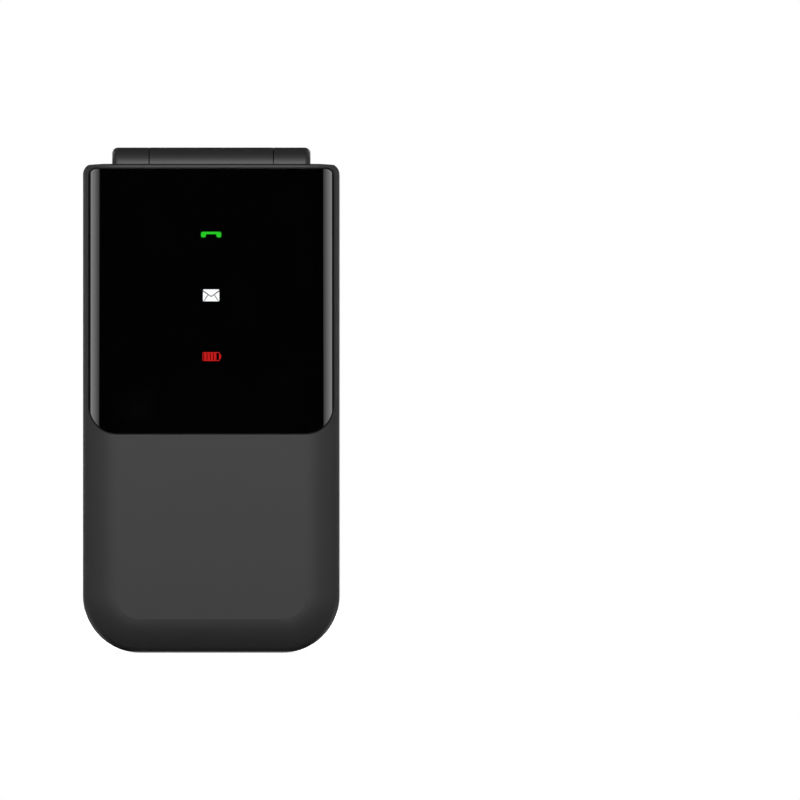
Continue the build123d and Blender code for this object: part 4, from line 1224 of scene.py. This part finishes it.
@dataclass
class Studio:
    """Floor, world, lamps, cards and camera. Lengths are metres."""

    floor_size: float = 2.4
    floor_drop: float = 0.00002
    floor_colour: Colour = (0.80, 0.80, 0.80)
    floor_lift: float = 0.66
    sky_diffuse: float = 0.32
    lamp_size: float = 0.5
    lamp_aim: Triple = (0.0, 0.0, 0.05)
    key_place: Triple = (0.0, -1.17, 0.62)
    key_power: float = 12.0
    back_place: Triple = (0.0, 1.15, 0.75)
    back_power: float = 9.0
    frame_width: float = 0.1622
    camera_distance: float = 6.0
    camera_x: float = 0.03825
    camera_z: float = 0.0512
    front_y: float = -0.003
    sensor_width: float = 36.0
    clip: tuple[float, float] = (0.05, 30.0)
    cards: list[Card] = field(default_factory=lambda: [
        # Black all round, so that dark gloss stays dark.
        Card("front_flag", (0, -1.5, 0.6), (0, 0, 0.6), 2.34, 1.7),
        Card("back_flag", (0, 1.5, 0.6), (0, 0, 0.6), 2.34, 1.7),
        Card("top_flag", (0, 0, 1.1), (0, 0, 0), 2.6, 2.6),
        *both_sides(Card("flag", (-1.233, -0.4125, 0.7), (0, 0, 0.7), 0.82, 1.5)),
        # Light that fades along the casing's rounded front edges.
        *both_sides(Card("strip", (-0.5798, -0.5332, 0.10), (0, 0, 0.10), 0.257, 0.24,
                         0.3, 1.85)),
        # The floor is black in reflections, but for a light line at the foot.
        Card("floor_flag_front", (0, -0.3545, 0.0003), (0, -0.3545, 1.0), 2.4, 0.701),
        Card("floor_flag_back", (0, 0.7475, 0.0003), (0, 0.7475, 1.0), 2.34, 1.481),
        Card("foot_card", (0, 0.0055, 0.0003), (0, 0.0055, 1.0), 0.09, 0.003, 1.0, 2.2,
             Grade.UPWARD),
        # Half of the camera's glass is dark: a flag just behind it, square to the panel.
        Card("glass_flag", (0, 0.0084, 0.08737), (0, 0.9828, 0.31227), 0.0069, 0.0069,
             cut=Cut.HALF_DISC, roll=-125.0),
        # Highlights down the back cover's ridges, and on over its corners.
        *both_sides(Card("ridge_strip", (-0.751, 1.061, 0.42), (0, 0, 0.42), 0.118, 0.9,
                         2.2, 9.0)),
        *both_sides(Card("crown_card", (-0.517, 0.612, 0.715), (-0.022, 0.009, 0.093),
                         0.101, 0.517, 3.0, 0.05, Grade.UPWARD)),
        *both_sides(Card("rear_flag", (-1.16, 0.55, 0.7), (0, 0, 0.7), 0.6, 1.5)),
        # The band of light on the camera panel.
        *panel_cards(),
        # Sheen on the sides, and soft pools of light on the floor.
        *both_sides(Card("side_card", (-0.2, 0.021, 0.055), (0, 0.021, 0.055), 0.048, 0.11,
                         0.0, 3.2, Grade.UPWARD)),
        *both_sides(Card("front_card", (-0.18, -0.18, 0.0006), (-0.18, -0.18, 1.0), 0.28, 0.28,
                         0.45, 0.0, Grade.ROUND)),
        *both_sides(Card("floor_card", (-0.27, 0.27, 0.0006), (-0.27, 0.27, 1.0), 0.5, 0.5,
                         0.75, 0.0, Grade.ROUND)),
    ])

    def world(self) -> None:
        """White to the camera and to reflections, softer on matt surfaces."""
        world = bpy.data.worlds.new("white_room")
        bpy.context.scene.world = world
        world.use_nodes = True
        tree = world.node_tree
        rays = add_node(tree, "ShaderNodeLightPath", {}).outputs
        seen = add_math(tree, "MAXIMUM", rays["Is Camera Ray"], rays["Is Glossy Ray"])
        seen = add_math(tree, "MAXIMUM", seen, rays["Is Transmission Ray"])
        level = add_node(tree, "ShaderNodeMapRange", {
            "Value": seen, "To Min": self.sky_diffuse, "To Max": 1.0})
        feed(tree.nodes["Background"], {
            "Color": (1, 1, 1, 1), "Strength": level.outputs["Result"]})

    def floor(self) -> None:
        """Pale floor that keeps the phone's shadow."""
        mesh = bpy.data.meshes.new("floor")
        s = self.floor_size / 2
        mesh.from_pydata([(-s, -s, 0), (s, -s, 0), (s, s, 0), (-s, s, 0)], [], [(0, 1, 2, 3)])
        floor = add_object("floor", mesh)
        floor.location.z = -self.floor_drop
        material = stage_material("pale_floor")
        tree = material.node_tree
        rays = add_node(tree, "ShaderNodeLightPath", {}).outputs
        seen = add_math(tree, "MAXIMUM", rays["Is Camera Ray"], rays["Is Glossy Ray"])
        matt = add_node(tree, "ShaderNodeBsdfDiffuse", {"Color": (*self.floor_colour, 1)})
        lift = add_node(tree, "ShaderNodeEmission", {
            "Strength": add_math(tree, "MULTIPLY", seen, self.floor_lift)})
        both = add_node(tree, "ShaderNodeAddShader", {0: matt.outputs[0], 1: lift.outputs[0]})
        add_node(tree, "ShaderNodeOutputMaterial", {"Surface": both.outputs[0]})
        mesh.materials.append(material)

    def lamp(self, name: str, place: Triple, power: float, glossy: bool) -> None:
        """Adds one soft lamp, aimed at the middle of the phone.

        Args:
            name: The lamp's name.
            place: Where it stands.
            power: Watts.
            glossy: False keeps it out of reflections.
        """
        data = bpy.data.lights.new(name, "AREA")
        data.shape, data.size, data.energy = "SQUARE", self.lamp_size, power
        lamp = add_object(name, data)
        lamp.location = place
        lamp.rotation_mode = "QUATERNION"
        way = Vector(self.lamp_aim) - Vector(place)
        lamp.rotation_quaternion = way.to_track_quat("-Z", "Y")
        lamp.visible_glossy = glossy

    def camera(self) -> None:
        """Long lens square to the front of the phone."""
        data = bpy.data.cameras.new("camera")
        data.sensor_width = self.sensor_width
        data.lens = self.sensor_width * self.camera_distance / self.frame_width
        data.clip_start, data.clip_end = self.clip
        camera = add_object("camera", data)
        camera.location = (self.camera_x, self.front_y - self.camera_distance, self.camera_z)
        camera.rotation_euler = (math.pi / 2, 0, 0)
        bpy.context.scene.camera = camera

    def build(self) -> None:
        """Sets the whole stage."""
        bpy.context.scene.view_settings.view_transform = "Standard"
        self.world()
        self.floor()
        self.lamp("key_front", self.key_place, self.key_power, glossy=True)
        self.lamp("key_back", self.back_place, self.back_power, glossy=False)
        for card in self.cards:
            card.build()
        self.camera()
        log.info("stage set")


def main() -> None:
    """Builds the phone's sub-assemblies in order and sets the stage."""
    groups = (FlipHalf(), HingeLine(), BaseHalf(), Keypad(), PowerAndPort(), BackCover())
    for group in groups:
        group.build()
    plain = set(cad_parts) - {name for group in groups for name in group.finishes}
    if plain:
        log.warning("no finish for %s", ", ".join(sorted(plain)))
    Studio().build()


if __name__ == "__main__":
    main()
